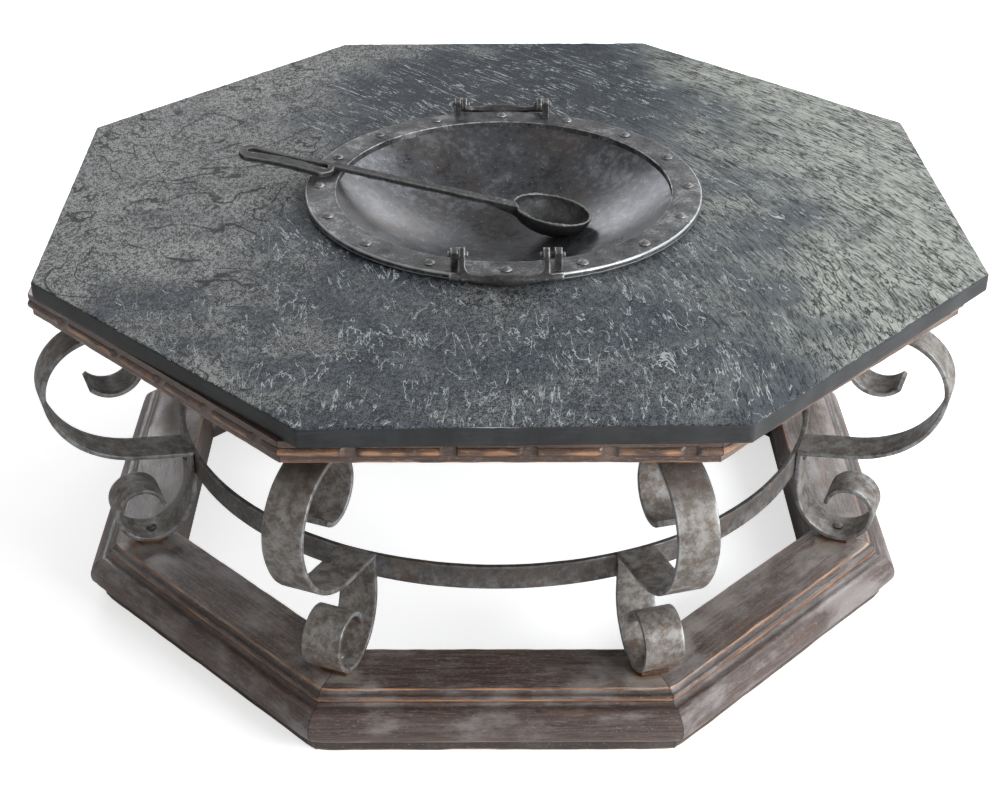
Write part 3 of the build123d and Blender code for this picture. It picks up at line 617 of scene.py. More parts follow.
def make_bar_iron(name, low, middle, high, edge_colour):
    """Bare forged iron: brown-grey blotches, rust tints, a pale bloom, rubbed edges and a warm painted
    light where the mesh marks it.
    """
    material, tree, shader = new_material(name)
    rust_brown = (0.125, 0.078, 0.050, 1)
    bloom_grey = (0.34, 0.33, 0.315, 1)
    scroll_floor_light_tan = (0.20, 0.105, 0.055, 1)
    pit_black = (0.02, 0.016, 0.013, 1)
    chip_pale = (0.45, 0.40, 0.36, 1)
    board = mark_value(tree, "board")
    place = board_place(tree, board)
    base = blotch(tree, place, 14.0, low, middle, high)
    grit = grain_noise(tree, place, 420.0, 4.0, 0.75)
    gritty = tuple(c * 0.5 for c in middle[:3]) + (1,)
    colour = lay_over(tree, gritty, base["Color"], band(tree, grit, 0.36, 0.62), 0.6)
    colour = mix_colour(tree, 0.6, base["Color"], colour)
    rust = grain_noise(tree, place, 34.0, 6.0, 0.72, 0.4)
    tint = times(tree, band(tree, rust, 0.50, 0.66), 0.6)
    colour = mix_colour(tree, tint, colour, rust_brown)
    bloom = grain_noise(tree, place, 60.0, 7.0, 0.75)
    low_down = band(tree, minus(tree, 0.20, height_above(tree, place, board)), 0.0, 0.05)
    low_down = times(tree, low_down, band(tree, bloom, 0.42, 0.62))
    pale = times(tree, band(tree, bloom, 0.56, 0.74), 0.42)
    pale = sum_up(tree, "MAXIMUM", pale, times(tree, low_down, 0.7))
    colour = mix_colour(tree, pale, colour, bloom_grey)
    # Painted light: a warm tan where light falls on the upturned inside of the lower scroll.
    scroll_floor_light = mark_value(tree, "scroll_floor_light")
    colour = mix_colour(tree, times(tree, scroll_floor_light, band(tree, rust, 0.3, 0.6)), colour,
                        scroll_floor_light_tan)
    rubbed = wear_mask(tree, place, 55.0, 0.55)
    bright = plus(tree, 0.2, times(tree, band(tree, bloom, 0.40, 0.60), 0.45))
    colour = mix_colour(tree, times(tree, rubbed, bright), colour, edge_colour)
    pits = fleck_mask(tree, place, 330.0, 0.3)
    colour = lay_over(tree, colour, pit_black, pits, 0.45)
    chips = fleck_mask(tree, place, 240.0, 0.09)
    colour = lay_over(tree, colour, chip_pale, chips, 0.7)
    relief = minus(tree, base["Height"], times(tree, pits, 0.5))
    feed(tree, shader, {"Base Color": colour, "Metallic": plus(tree, times(tree, rubbed, 0.6), 0.1),
                        "Roughness": from_to(tree, base["Height"], 0.3, 0.7, 0.6, 0.38),
                        "Normal": bump_from(tree, relief, 0.4, 0.0009)})
    return material


leg_iron = make_bar_iron("leg_iron", (0.073, 0.054, 0.040, 1), (0.150, 0.126, 0.105, 1),
                         (0.31, 0.292, 0.270, 1), (0.42, 0.43, 0.44, 1))
for index in range(sides):
    rows = np.zeros((len(line), len(section), 3))
    for i, (x, y, heading) in enumerate(line):
        if heading is None:
            before, after = math.radians(90), math.radians(arm_slope)
            half_turn = (after - before) / 2
            angle = before + half_turn
            stretch = 1 / math.cos(half_turn)
        else:
            angle, stretch = math.radians(heading), 1.0
        normal = np.array([-math.sin(angle), math.cos(angle)])
        rows[i, :, 0] = x + normal[0] * section[:, 0] * stretch
        rows[i, :, 2] = y + normal[1] * section[:, 0] * stretch
        rows[i, :, 1] = section[:, 1]
    world = rows * MM
    uneven = roughness_at(world, 0.05, 100 + index, 2)
    hammer = roughness_at(world, 0.016, 120 + index, 2)
    side_edge = np.abs(section[:, 1]) > bar_width / 2 - 1.2
    worn_back = np.sign(section[side_edge, 1]) * (0.35 + 0.45 * uneven[:, side_edge])
    rows[:, side_edge, 1] -= worn_back.clip(-1, 1)
    for i, (_, _, heading) in enumerate(line):
        if heading is None:
            continue
        angle = math.radians(heading)
        depth = -0.12 * (1 + hammer[i]) * np.sign(section[:, 0])
        rows[i, :, 0] += -math.sin(angle) * depth
        rows[i, :, 2] += math.cos(angle) * depth
    # Where the painted light lies: the upturned inner face near the bottom of the lower scroll.
    scroll_light = np.zeros(rows.shape[:2])
    for i, (x, y, _) in enumerate(line):
        light_spot = math.exp(-((x - 62) ** 2 + (y + 96) ** 2) / 900)
        scroll_light[i] = light_spot * (section[:, 0] > 0 if y < -60 else 0)
    leg = skin(f"iron_leg_{index + 1}", rows * MM, marks={
        "edge": np.clip(near_edge[None, :] * (0.9 + 0.5 * uneven), 0, 1),
        "board": np.full(rows.shape[:2], 5.1 * index + 0.7), "scroll_floor_light": scroll_light}, sharp=50)
    leg.data.materials.append(leg_iron)
    turn = math.radians(22.5 + 45 * index)
    leg.matrix_world = (Matrix.Translation(((iron_x + corner_reach * math.cos(turn)) * MM,
                                            corner_reach * math.sin(turn) * MM, corner_height * MM))
                        @ Matrix.Rotation(turn + math.radians(leg_turns[index]), 4, "Z"))
    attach(leg, "stand")
    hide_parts(f"leg_{index + 1}")

# ---- foot washers and screws ---------------------------------------------------------------------
# A thick square washer packs each foot off the rail and a round-headed screw holds it down. Both stand in
# the wet when the base is mopped; the washers are orange with rust, and the screws have the legs' bare
# iron.
rusty_iron, tree, shader = new_material("rusty_iron")
base = blotch(tree, own_place(tree), 60.0, (0.040, 0.026, 0.019, 1), (0.095, 0.048, 0.028, 1),
              (0.25, 0.12, 0.06, 1))
feed(tree, shader, {"Base Color": base["Color"], "Roughness": 0.85,
                    "Normal": bump_from(tree, base["Height"], 0.7, 0.001)})


def forged_copy(name, node, body, metal, voxel, uneven, size, seed, soften=2):
    """The CAD piece again with rounded edges and an uneven forged skin, in its metal.

    voxel is the width of the mesh's grid, uneven the height of its bumps and size their width, all in
    metres. soften is how many times the corners are rounded. Where edges stand out they are marked.
    """
    source = bpy.data.objects.new(name + "_core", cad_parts[node].data.copy())
    bpy.context.scene.collection.objects.link(source)
    joined = bmesh.new()
    joined.from_mesh(source.data)
    bmesh.ops.remove_doubles(joined, verts=joined.verts, dist=1e-6)
    joined.to_mesh(source.data)
    joined.free()
    remesh = source.modifiers.new("remesh", "REMESH")
    remesh.mode = "VOXEL"
    remesh.voxel_size = voxel
    depsgraph = bpy.context.evaluated_depsgraph_get()
    mesh = bpy.data.meshes.new_from_object(source.evaluated_get(depsgraph))
    bpy.data.objects.remove(source)
    mesh.name = name
    count = len(mesh.vertices)
    points = np.empty(count * 3)
    mesh.vertices.foreach_get("co", points)
    points = points.reshape(-1, 3)
    pairs = np.empty(len(mesh.edges) * 2, int)
    mesh.edges.foreach_get("vertices", pairs)
    pairs = pairs.reshape(-1, 2)
    degree = np.bincount(pairs.ravel(), minlength=count)[:, None].clip(1)

    def relax(values, rounds):
        """Move each value toward its neighbours' mean."""
        for _ in range(rounds):
            total = np.zeros_like(values)
            np.add.at(total, pairs[:, 0], values[pairs[:, 1]])
            np.add.at(total, pairs[:, 1], values[pairs[:, 0]])
            values = total / degree
        return values

    points = relax(points, soften)
    mesh.vertices.foreach_set("co", points.ravel())
    mesh.update()
    normals = np.empty(count * 3)
    mesh.vertex_normals.foreach_get("vector", normals)
    normals = normals.reshape(-1, 3)
    bulge = ((points - relax(points, 7)) * normals).sum(1) / voxel
    edge = relax(np.clip(bulge * 1.5, 0, 1)[:, None], 1)[:, 0]
    noisy = roughness_at(points, size, seed, 3)
    points = points + normals * (noisy * uneven - uneven * 0.3)[:, None]
    mesh.vertices.foreach_set("co", points.ravel())
    put_marks(mesh, {"edge": edge, "board": np.full(count, seed * 0.9)})
    mesh.shade_smooth()
    mesh.materials.clear()
    mesh.materials.append(metal)
    piece = bpy.data.objects.new(name, mesh)
    bpy.context.scene.collection.objects.link(piece)
    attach(piece, body)
    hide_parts(node)


forged_copy("rusty_foot_washers", "foot_washers", "stand", rusty_iron, voxel=0.0011,
            uneven=0.0005, size=0.008, seed=41)
forged_copy("rusty_foot_screws", "foot_screws", "stand", leg_iron, voxel=0.0009,
            uneven=0.0003, size=0.005, seed=42, soften=1)

# ---- hoop and its rivets -------------------------------------------------------------------------
# One flat bar rolled into a hoop stands on edge inside the legs' sharp corners. A round-headed rivet
# holds it to each leg. Its upper edge is rubbed bright.
hoop_radius, hoop_thickness, hoop_height = 420.0, 6.0, 32.0
hoop_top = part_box("hoop")[1].z / MM
around_hoop = 260            # steps of the mesh round the hoop


def round_circle(count, reach, height):
    """Grid of points: a section, given by its reach and height, at so many places round a circle."""
    angles = np.linspace(0, 2 * math.pi, count, endpoint=False)
    rows = np.zeros((count, len(reach), 3))
    rows[:, :, 0] = np.cos(angles)[:, None] * reach
    rows[:, :, 1] = np.sin(angles)[:, None] * reach
    rows[:, :, 2] = height
    return rows


hoop_section, hoop_edge = bar_section(hoop_height, hoop_thickness, 1.0, 7)
rows = round_circle(around_hoop, hoop_radius - hoop_thickness / 2 + hoop_section[:, 0],
                    hoop_top - hoop_height / 2 + hoop_section[:, 1])
uneven = roughness_at(rows * MM, 0.04, 150, 2)
edges = np.abs(hoop_section[:, 1]) > hoop_height / 2 - 1.1
rows[:, edges, 2] -= np.sign(hoop_section[edges, 1]) * (0.25 + 0.3 * uneven[:, edges]).clip(0, 1)
hoop = skin("iron_hoop", rows * MM, wrap_rows=True, marks={
    "edge": np.clip(hoop_edge[None, :] * (0.8 + 0.6 * uneven), 0, 1),
    "board": np.full(rows.shape[:2], 9.3), "scroll_floor_light": np.zeros(rows.shape[:2])}, sharp=50)
hoop_iron = make_bar_iron("hoop_iron", (0.034, 0.030, 0.028, 1), (0.100, 0.090, 0.084, 1),
                          (0.22, 0.215, 0.215, 1), (0.30, 0.29, 0.28, 1))
hoop.data.materials.append(hoop_iron)
hoop.matrix_world = Matrix.Translation((iron_x * MM, 0, 0))
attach(hoop, "stand")
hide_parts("hoop")
forged_copy("iron_hoop_rivets", "hoop_rivets", "stand", hoop_iron, voxel=0.0009,
            uneven=0.0003, size=0.006, seed=43, soften=1)

# ---- bearers and their screws --------------------------------------------------------------------
# A deep plain rail runs inside each moulding and carries the slate. The scrolls are screwed up into
# its mitred corners. Only its underside and inner face are seen from low down.
bearer_oak = make_oak("bearer_oak", (0.040, 0.029, 0.024, 1), (0.075, 0.060, 0.052, 1), 0.2)
rails_x = stand_x + 2.5      # the top rails' middle
bearer_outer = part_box("top_bearer_1")[1].x / MM - rails_x
bearer_inner = bearer_outer - 42.0
bearer_low, bearer_top = (corner.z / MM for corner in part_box("top_bearer_1"))
bearer_profile = np.array(
    straight_between((bearer_inner, bearer_low), (bearer_outer, bearer_low), 8)
    + straight_between((bearer_outer, bearer_low), (bearer_outer, bearer_top), 8)
    + straight_between((bearer_outer, bearer_top), (bearer_inner, bearer_top), 4)
    + straight_between((bearer_inner, bearer_top), (bearer_inner, bearer_low), 8))
bearer_wear = profile_wear(bearer_profile, [(bearer_inner, bearer_low), (bearer_outer, bearer_low)], 6.0)
bearer_spots = np.concatenate([[-1, -0.996], np.linspace(-0.97, 0.97, 36), [0.996, 1]])
for index in range(sides):
    rows = along_rail(bearer_profile, bearer_spots)
    dents = roughness_at(rows * MM, (0.02, 0.06, 0.02), 170 + index)
    soft = bearer_wear[None, :] * np.clip(0.5 + dents, 0, 1)
    rows[:, :, 2] += soft * 0.8 * (rows[:, :, 2] < bearer_low + 1)
    rows[:, :, 1] *= 1 - mitre_gap
    joint_and_groove_shade = joint_mark(bearer_spots, 0.996, len(bearer_profile))
    blank = np.zeros(rows.shape[:2])
    bearer = skin(f"oak_bearer_{index + 1}", rows * MM, marks={
        "edge": soft, "board": blank + 2.9 * index + 31, "stain": blank, "rust": blank, "joint_and_groove_shade": joint_and_groove_shade})
    bearer.data.materials.append(bearer_oak)
    place_side(bearer, index, rails_x)
    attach(bearer, "stand")
    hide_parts(f"top_bearer_{index + 1}")
forged_copy("iron_head_screws", "head_screws", "stand", hoop_iron, voxel=0.0009,
            uneven=0.0003, size=0.005, seed=44, soften=1)

# ---- mouldings under the slate -------------------------------------------------------------------
# A fillet, a half-round bead and a step, run in one piece and mitred round the top. Short flats are
# gouged across the bead by hand; the bead between them is rubbed down to orange-brown wood.
moulding_oak = make_oak("moulding_oak", (0.110, 0.060, 0.040, 1), (0.20, 0.135, 0.100, 1), 0.56)
moulding_inner, moulding_outer = bearer_outer + 0.1, bearer_outer + 56.7
step_face = moulding_outer + 3.0
moulding_low = bearer_top - 28.0
fillet_top, bead_top = moulding_low + 8.0, bearer_top - 8.0
round_crown = (moulding_outer + 5.5, (fillet_top + bead_top) / 2)
moulding_profile = np.array(
    straight_between((moulding_inner, moulding_low), (moulding_outer, moulding_low), 8)
    + straight_between((moulding_outer, moulding_low), (moulding_outer, fillet_top), 5)
    + arc_between((moulding_outer, fillet_top), round_crown, (moulding_outer, bead_top), 12)
    + straight_between((moulding_outer, bead_top), (step_face, bead_top), 2)
    + straight_between((step_face, bead_top), (step_face, bearer_top), 5)
    + straight_between((step_face, bearer_top), (moulding_inner, bearer_top), 6)
    + straight_between((moulding_inner, bearer_top), (moulding_inner, moulding_low), 3))
moulding_wear = np.maximum(profile_wear(moulding_profile, [(moulding_outer, moulding_low)], 3.5),
                           0.9 * profile_wear(moulding_profile, [round_crown], 9.0))
notch_spots = (-152.0, -51.0, 30.0, 111.0, 191.0)
notch_half = 9.0
half_length = moulding_outer * math.tan(half_corner)
moulding_spots = np.concatenate([-1 + end_spots, np.linspace(-0.92, 0.92, 190), 1 - end_spots[::-1]])
on_bead = ((moulding_profile[:, 1] > fillet_top - 0.1) & (moulding_profile[:, 1] < bead_top + 0.1)
           & (moulding_profile[:, 0] > moulding_outer - 0.1))
for index in range(sides):
    rows = along_rail(moulding_profile, moulding_spots)
    world = rows * MM
    dents = roughness_at(world, (0.015, 0.03, 0.015), 190 + index)
    place_along = moulding_spots * half_length
    cut = np.zeros(len(moulding_spots))
    mouth = np.zeros(len(moulding_spots))
    for spot in notch_spots:
        wander = 1.5 * math.sin(spot * 3.1 + index * 2.2)
        far = np.abs(place_along - spot - wander)
        cut = np.maximum(cut, 1 - smooth_step(notch_half - 3.0, notch_half, far))
        mouth = np.maximum(mouth, np.exp(-((far - notch_half + 0.5) / 2.6) ** 2))
    bulge = rows[:, :, 0] - moulding_outer
    rows[:, :, 0] -= np.where(on_bead[None, :], bulge * 0.85 * cut[:, None], 0)
    ends = smooth_step(0.95, 1.0, np.abs(moulding_spots))[:, None]
    soft = moulding_wear[None, :] * np.clip(0.4 + dents, 0, 1)
    outside = rows[:, :, 0] > bearer_outer + 1
    rows[:, :, 0] -= np.where(outside, soft * 0.7 + ends * 0.8 * on_bead[None, :], 0)
    rows[:, :, 1] *= 1 - mitre_gap
    edge = moulding_wear[None, :] * (0.75 + 0.5 * dents)
    edge = np.where(on_bead[None, :], edge * (1 - 0.9 * cut[:, None]) - 0.3 * mouth[:, None], edge)
    joint_and_groove_shade = joint_mark(moulding_spots, 0.9965, len(moulding_profile))
    pale = np.where(on_bead[None, :], 0.45 * mouth[:, None] * (0.6 + dents), 0)
    moulding = skin(f"oak_moulding_{index + 1}", rows * MM, marks={
        "edge": np.clip(edge, 0, 1), "board": np.full(rows.shape[:2], 4.3 * index + 11),
        "stain": np.clip(pale, 0, 1), "rust": np.zeros(rows.shape[:2]), "joint_and_groove_shade": joint_and_groove_shade}, sharp=35)
    moulding.data.materials.append(moulding_oak)
    place_side(moulding, index, rails_x)
    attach(moulding, "stand")
    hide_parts(f"top_moulding_{index + 1}")

# ---- slate top -----------------------------------------------------------------------------------
# One octagonal slab of natural slate with a round hole for the dish. The top is left as it split, in thin
# uneven layers, rough to the left and ridged to the right, with a painted sheen that makes it pale to the
# left and far right; the edges are sawn and honed.
slate_x, slate_turn, slate_reach, slate_thick = 8.5, 1.08, 600.0, 23.0
dish_x, dish_y, hole_radius = 4.5, 1.0, 217.1
slate_top_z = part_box("slate_top")[1].z / MM
per_side = 116               # columns of the mesh along each side
corner_turns = [math.radians(22.5 + 45 * i + slate_turn) for i in range(sides)]
corners = [np.array([slate_x + slate_reach * math.cos(turn), slate_reach * math.sin(turn)])
           for turn in corner_turns]
rim = np.array([corners[i] + (corners[(i + 1) % sides] - corners[i]) * k / per_side
                for i in range(sides) for k in range(per_side)])
dish_middle = np.array([dish_x, dish_y])
outward = rim - dish_middle
far = np.hypot(outward[:, 0], outward[:, 1])
outward /= far[:, None]
columns = len(rim)


def ring_at(radius, height):
    """A loop of points at a distance from the middle of the dish."""
    loop = np.zeros((columns, 3))
    loop[:, :2] = dish_middle + outward * np.reshape(radius, (-1, 1))
    loop[:, 2] = height
    return loop


def ring_inside(setback, height):
    """A loop of points set in from the slab's edge."""
    return ring_at(far - setback, height)


flat_loops = [ring_at(hole_radius + (far - 8 - hole_radius) * t, slate_top_z)
              for t in np.linspace(0, 1, 112)]
top = np.array(flat_loops + [ring_inside(back, slate_top_z) for back in (6, 4.4, 3.0, 2.0, 1.1)])
plan = top[:, :, :2] * MM
plan_x, plan_y = plan[:, :, 0], plan[:, :, 1]
flow = plan_x + 0.30 * plan_y + 0.53 * (plan_y + 0.2) ** 2       # constant along each ridge
flat_place = np.stack([plan_x, plan_y, np.zeros(plan_x.shape)], axis=2)
wander = roughness_at(flat_place, 0.16, 201, 3)
ridge_place = np.stack([flow / 0.014, plan_y / 0.10 + 0.5 * wander, np.zeros(plan_x.shape)], axis=2)
ridges = roughness_at(ridge_place, 1, 202, 4)
crust = roughness_at(flat_place, (0.012, 0.014, 0.012), 203, 4)
layers = roughness_at(flat_place, 0.17, 204, 4) * 5.0
steps = np.floor(layers) + smooth_step(0.86, 1.0, layers - np.floor(layers))
steps = (steps - steps.min()) / (steps.max() - steps.min())
right_side = smooth_step(-0.02, 0.26, plan_x + 0.08 * wander + 0.06 * plan_y)
left_side = smooth_step(0.18, 0.40, -plan_x + 0.14 * wander + 0.26 * plan_y)
far_right = smooth_step(0.24, 0.46, plan_x + 0.10 * wander + 0.16 * plan_y)
front_patch = smooth_step(0.2, 0.7, roughness_at(flat_place, (0.10, 0.07, 0.1), 206, 3))
# Painted shade: the slate behind the dish, away from both sides, is to be darkened.
back_shade = smooth_step(0.12, 0.40, plan_y) * (1 - np.maximum(left_side, far_right))
near_dish = smooth_step(0.250, 0.300, np.hypot(plan_x - dish_x * MM, plan_y - dish_y * MM))
relief = (0.55 * right_side * (ridges + 0.6) + 0.14 * (1 - right_side) * (ridges + 0.6)
          + (0.12 + 0.30 * left_side) * (crust + 0.6)
          + 0.8 * (0.3 + 0.7 * np.maximum(left_side, right_side)) * (1 - steps))
relief *= 0.25 + 0.75 * near_dish
top[:, :, 2] -= relief.clip(0, 2.4)
chips = smooth_step(0.15, 0.8, roughness_at(flat_place, 0.007, 205, 3)[-1]) * 1.3 + 0.3
top[-1, :, 2] -= 0.25 * chips
top[-2, :, 2] -= 0.08 * chips
lowest = slate_top_z - slate_thick
outer_rows = []
for back, drop in ((0.55, 0.35), (0.15, 0.9), (0.0, 1.8)):
    loop = ring_inside(back, slate_top_z)
    loop[:, 2] = top[-1, :, 2] - drop * (0.8 + 0.4 * chips)
    outer_rows.append(loop)
outer_rows += [ring_inside(0.0, slate_top_z - height) for height in (6.0, 12.0, 18.0, 22.2)]
outer_rows += [ring_inside(0.8, lowest), ring_at(hole_radius + 40, lowest)]
outer_rows += [ring_at(hole_radius, height) for height in (lowest, lowest + 8, lowest + 16)]
rows = np.concatenate([top, np.array(outer_rows)])


def over_slab(values):
    """A mark for the whole slab from one for its top."""
    return np.concatenate([values, np.zeros((len(outer_rows), columns))])


# The pale mark is painted sheen: paler to the left and far right where reflected light would fall, with
# random paler patches in front and painted shade behind the dish.
sheen_and_back_shade = np.maximum(0.85 * left_side, far_right) + 0.28 * front_patch - 0.5 * back_shade
slab = skin("slate_slab", rows * MM, wrap_rows=True, marks={
    "pale": over_slab(np.clip(sheen_and_back_shade, -0.5, 1)), "ridged": over_slab(right_side),
    "flow": over_slab(flow)}, sharp=50)

# The cleft face: fine crumbs to the left and long fibres to the right, in two colours that both grow
# paler toward the sides with a painted sheen, with painted shadow lines along the broken edges of thin
# layers over them and a few thin painted highlights along ridges.
slate_cleft, tree, shader = new_material("slate_cleft")
# night_blue and slate_blue are the slate's own blue-grey, partly with a painted bluish sky reflection in
# them.
night_blue = (0.009, 0.013, 0.018, 1)
sheen_dark_grey = (0.055, 0.057, 0.054, 1)
slate_blue = (0.066, 0.079, 0.096, 1)
sheen_grey = (0.36, 0.361, 0.350, 1)
sheen_green = (0.43, 0.45, 0.405, 1)
step_shadow_black = (0.010, 0.011, 0.012, 1)
far_shade = (0.014, 0.018, 0.023, 1)
ridge_highlight_white = (0.46, 0.50, 0.50, 1)
thread_pale = (0.36, 0.39, 0.40, 1)
dust_pale = (0.42, 0.44, 0.44, 1)
place = own_place(tree)
parts = add_node(tree, "ShaderNodeSeparateXYZ", {0: place}).outputs
pale, ridged, flow_line = mark_value(tree, "pale"), mark_value(tree, "ridged"), mark_value(tree, "flow")


def along_flow(across_scale, along_scale, shift=0.0):
    """Coordinates that follow the ridges."""
    return add_node(tree, "ShaderNodeCombineXYZ", {
        "X": times(tree, flow_line, across_scale),
        "Y": times(tree, parts[1], along_scale), "Z": shift}).outputs[0]


def layer_edges(noise_value, levels, start=0.87):
    """Thin lines where a smooth noise steps from one level to the next; start is how thin."""
    rising = sum_up(tree, "FRACT", times(tree, noise_value, levels))
    return band(tree, rising, start, 0.45 + 0.55 * start)


fibre = grain_noise(tree, along_flow(215, 27), 1.0, 5.0, 0.66, 0.35)
fibre_fine = grain_noise(tree, along_flow(640, 100, 3.0), 1.0, 2.0, 0.6, 0.2)
crumb = drawn_noise(tree, place, (620, 350, 620), 2.0, 0.6)
crumb_wide = drawn_noise(tree, place, (190, 105, 190), 4.0, 0.7, 0.4, turn=0.3)
fibres = plus(tree, times(tree, fibre, 0.62), times(tree, fibre_fine, 0.38))
crumbs = plus(tree, times(tree, crumb, 0.55), times(tree, crumb_wide, 0.45))
share = times(tree, ridged, 0.9)
fibres = from_to(tree, fibres, 0.0, 1.0, 0.18, 0.86)
pattern = add_node(tree, "ShaderNodeMix", {0: share, 2: crumbs, 3: fibres}).outputs[0]
broad = grain_noise(tree, place, 9.0, 5.0, 0.62, 0.3)
# Painted sheen, with broad random tone, from the pale mark.
sheen_and_tone = plus(tree, pale, times(tree, minus(tree, broad, 0.5), 1.5))
sheen_and_tone = from_to(tree, sheen_and_tone, -0.2, 1.25, 0.0, 1.0)
lumps = drawn_noise(tree, place, (34, 22, 34), 4.0, 0.65, 0.4)
tone = plus(tree, pattern, times(tree, minus(tree, lumps, 0.5), 0.16))
tone = band(tree, tone, 0.44, 0.55)
sheen_colour = mix_colour(tree, ridged, sheen_grey, sheen_green)
darker = mix_colour(tree, sheen_and_tone, night_blue, sheen_dark_grey)
lighter = mix_colour(tree, band(tree, sheen_and_tone, -0.1, 0.95), slate_blue, sheen_colour)
colour = mix_colour(tree, tone, darker, lighter)
# Painted shadow: thin dark lines along the steps between split layers, coarse ones here and fine ones
# below.
left_layers = layer_edges(grain_noise(tree, place, 5.2, 4.5, 0.50, 0.5), 9.0)
right_layers = layer_edges(grain_noise(tree, along_flow(20, 5, 7.0), 1.0, 5.0, 0.54, 0.4), 13.0, 0.82)
broken = grain_noise(tree, place, 16.0, 4.0, 0.6)
step_shadow = plus(tree, times(tree, left_layers, minus(tree, 1.0, ridged)),
             times(tree, right_layers, ridged))
step_shadow = times(tree, step_shadow, band(tree, broken, 0.36, 0.50))
fine_right = layer_edges(grain_noise(tree, along_flow(52, 10, 5.0), 1.0, 4.5, 0.58, 0.5), 8.0, 0.80)
fine_left = layer_edges(drawn_noise(tree, place, (34, 20, 34), 4.0, 0.6, 0.4), 8.0, 0.84)
fine = add_node(tree, "ShaderNodeMix", {0: ridged, 2: times(tree, fine_left, 0.55),
                                        3: fine_right}).outputs[0]
patchy = drawn_noise(tree, place, (26, 26, 26), 5.0, 0.65, turn=0.7)
fine = times(tree, fine, band(tree, patchy, 0.36, 0.50))
step_shadow = sum_up(tree, "MAXIMUM", step_shadow, fine)
step_shadow = times(tree, step_shadow, band(tree, sheen_and_tone, 0.05, 0.45))
# The painted shadow lines are laid over the colour here.
colour = lay_over(tree, colour, step_shadow_black, step_shadow, 0.9)
# Painted shade behind the dish.
back_shade_share = times(tree, band(tree, minus(tree, 0.0, pale), 0.05, 0.5), 0.5)
colour = mix_colour(tree, back_shade_share, colour, far_shade)
# Painted highlights: thin white lines where ridge edges catch the light, mostly in the darker middle.
ridge_highlight_noise = grain_noise(tree, along_flow(34, 9, 11.0), 1.0, 5.0, 0.58, 0.5)
ridge_highlight = layer_edges(ridge_highlight_noise, 7.0, 0.90)
ridge_highlight = times(tree, ridge_highlight, band(tree, grain_noise(tree, place, 22.0, 4.0, 0.65), 0.43, 0.54))
ridge_highlight = times(tree, ridge_highlight, minus(tree, 1.1, sheen_and_tone), True)
colour = mix_colour(tree, ridge_highlight, colour, ridge_highlight_white)
threads = grain_noise(tree, along_flow(150, 42, 2.0), 1.0, 3.0, 0.6, 0.6)
short = sum_up(tree, "ABSOLUTE", minus(tree, threads, 0.5))
short = minus(tree, 1.0, band(tree, short, 0.002, 0.022))
short = times(tree, short, band(tree, crumb_wide, 0.50, 0.60))
colour = lay_over(tree, colour, thread_pale, short, 0.42)
dust = fleck_mask(tree, stretched(tree, place, (1, 0.5, 1)), 330.0, 0.17)
colour = lay_over(tree, colour, dust_pale, dust, 0.55)
height = minus(tree, pattern, times(tree, step_shadow, 0.6))
feed(tree, shader, {"Base Color": colour, "Roughness": from_to(tree, pattern, 0.35, 0.65, 0.40, 0.58),
                    "Specular IOR Level": 0.14, "Normal": bump_from(tree, height, 0.8, 0.0022)})

slate_honed, tree, shader = new_material("slate_honed")
honed_dark = (0.021, 0.0215, 0.022, 1)
honed_light = (0.042, 0.043, 0.045, 1)
saw_grey = (0.054, 0.056, 0.058, 1)
stone_dust = (0.35, 0.35, 0.35, 1)
place = own_place(tree)
saw = drawn_noise(tree, place, (30, 30, 300), 4.0, 0.6)
broad = grain_noise(tree, place, 14.0, 5.0, 0.65)
colour = mix_colour(tree, band(tree, broad, 0.35, 0.7), honed_dark,
                    honed_light)
colour = lay_over(tree, colour, saw_grey, band(tree, saw, 0.5, 0.7), 0.4)
dust = fleck_mask(tree, place, 260.0, 0.08)
colour = lay_over(tree, colour, stone_dust, dust, 0.5)
feed(tree, shader, {"Base Color": colour, "Roughness": 0.46, "Specular IOR Level": 0.3,
                    "Normal": bump_from(tree, saw, 0.2, 0.0005)})

slab.data.materials.append(slate_cleft)
slab.data.materials.append(slate_honed)
honed = np.zeros((len(rows), columns), np.int32)
honed[len(top) + 1:] = 1
slab.data.polygons.foreach_set("material_index", honed.ravel())
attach(slab, "stand")
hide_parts("slate_top")

# ---- dish pan ------------------------------------------------------------------------------------
# A shallow pan beaten out of sheet steel, dark with oil and heat, with a worn sheen, fine pits and
# pale specks of ash. It keeps its CAD shape.
pan_steel, tree, shader = new_material("pan_steel")
heat_brown = (0.10, 0.078, 0.062, 1)
ash_grey = (0.40, 0.40, 0.39, 1)
ash_white = (0.50, 0.50, 0.48, 1)
soot = (0.008, 0.007, 0.007, 1)
place = own_place(tree)
base = blotch(tree, place, 13.0, (0.040, 0.041, 0.045, 1), (0.090, 0.092, 0.100, 1),
              (0.19, 0.195, 0.21, 1))
brown = grain_noise(tree, place, 8.0, 5.0, 0.6, 0.5)
colour = lay_over(tree, base["Color"], heat_brown, band(tree, brown, 0.5, 0.68), 0.5)
ash = fleck_mask(tree, place, 170.0, 0.21)
ash_fine = fleck_mask(tree, place, 380.0, 0.24)
colour = lay_over(tree, colour, ash_grey, ash, 0.6)
colour = lay_over(tree, colour, ash_white, ash_fine, 0.75)
pits = fleck_mask(tree, stretched(tree, place, (1, 1, 1), 1.0), 130.0, 0.12)
colour = lay_over(tree, colour, soot, pits, 0.8)
smear = grain_noise(tree, place, 26.0, 6.0, 0.7)
gloss = plus(tree, from_to(tree, smear, 0.3, 0.7, 0.24, 0.42), times(tree, ash_fine, 0.3))
relief = plus(tree, base["Height"], times(tree, ash, 0.35))
relief = minus(tree, relief, times(tree, pits, 0.5))
feed(tree, shader, {"Base Color": colour, "Metallic": 0.6, "Roughness": gloss,
                    "Normal": bump_from(tree, relief, 0.22, 0.0012)})
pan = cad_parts["dish_pan"]
pan.data.materials.clear()
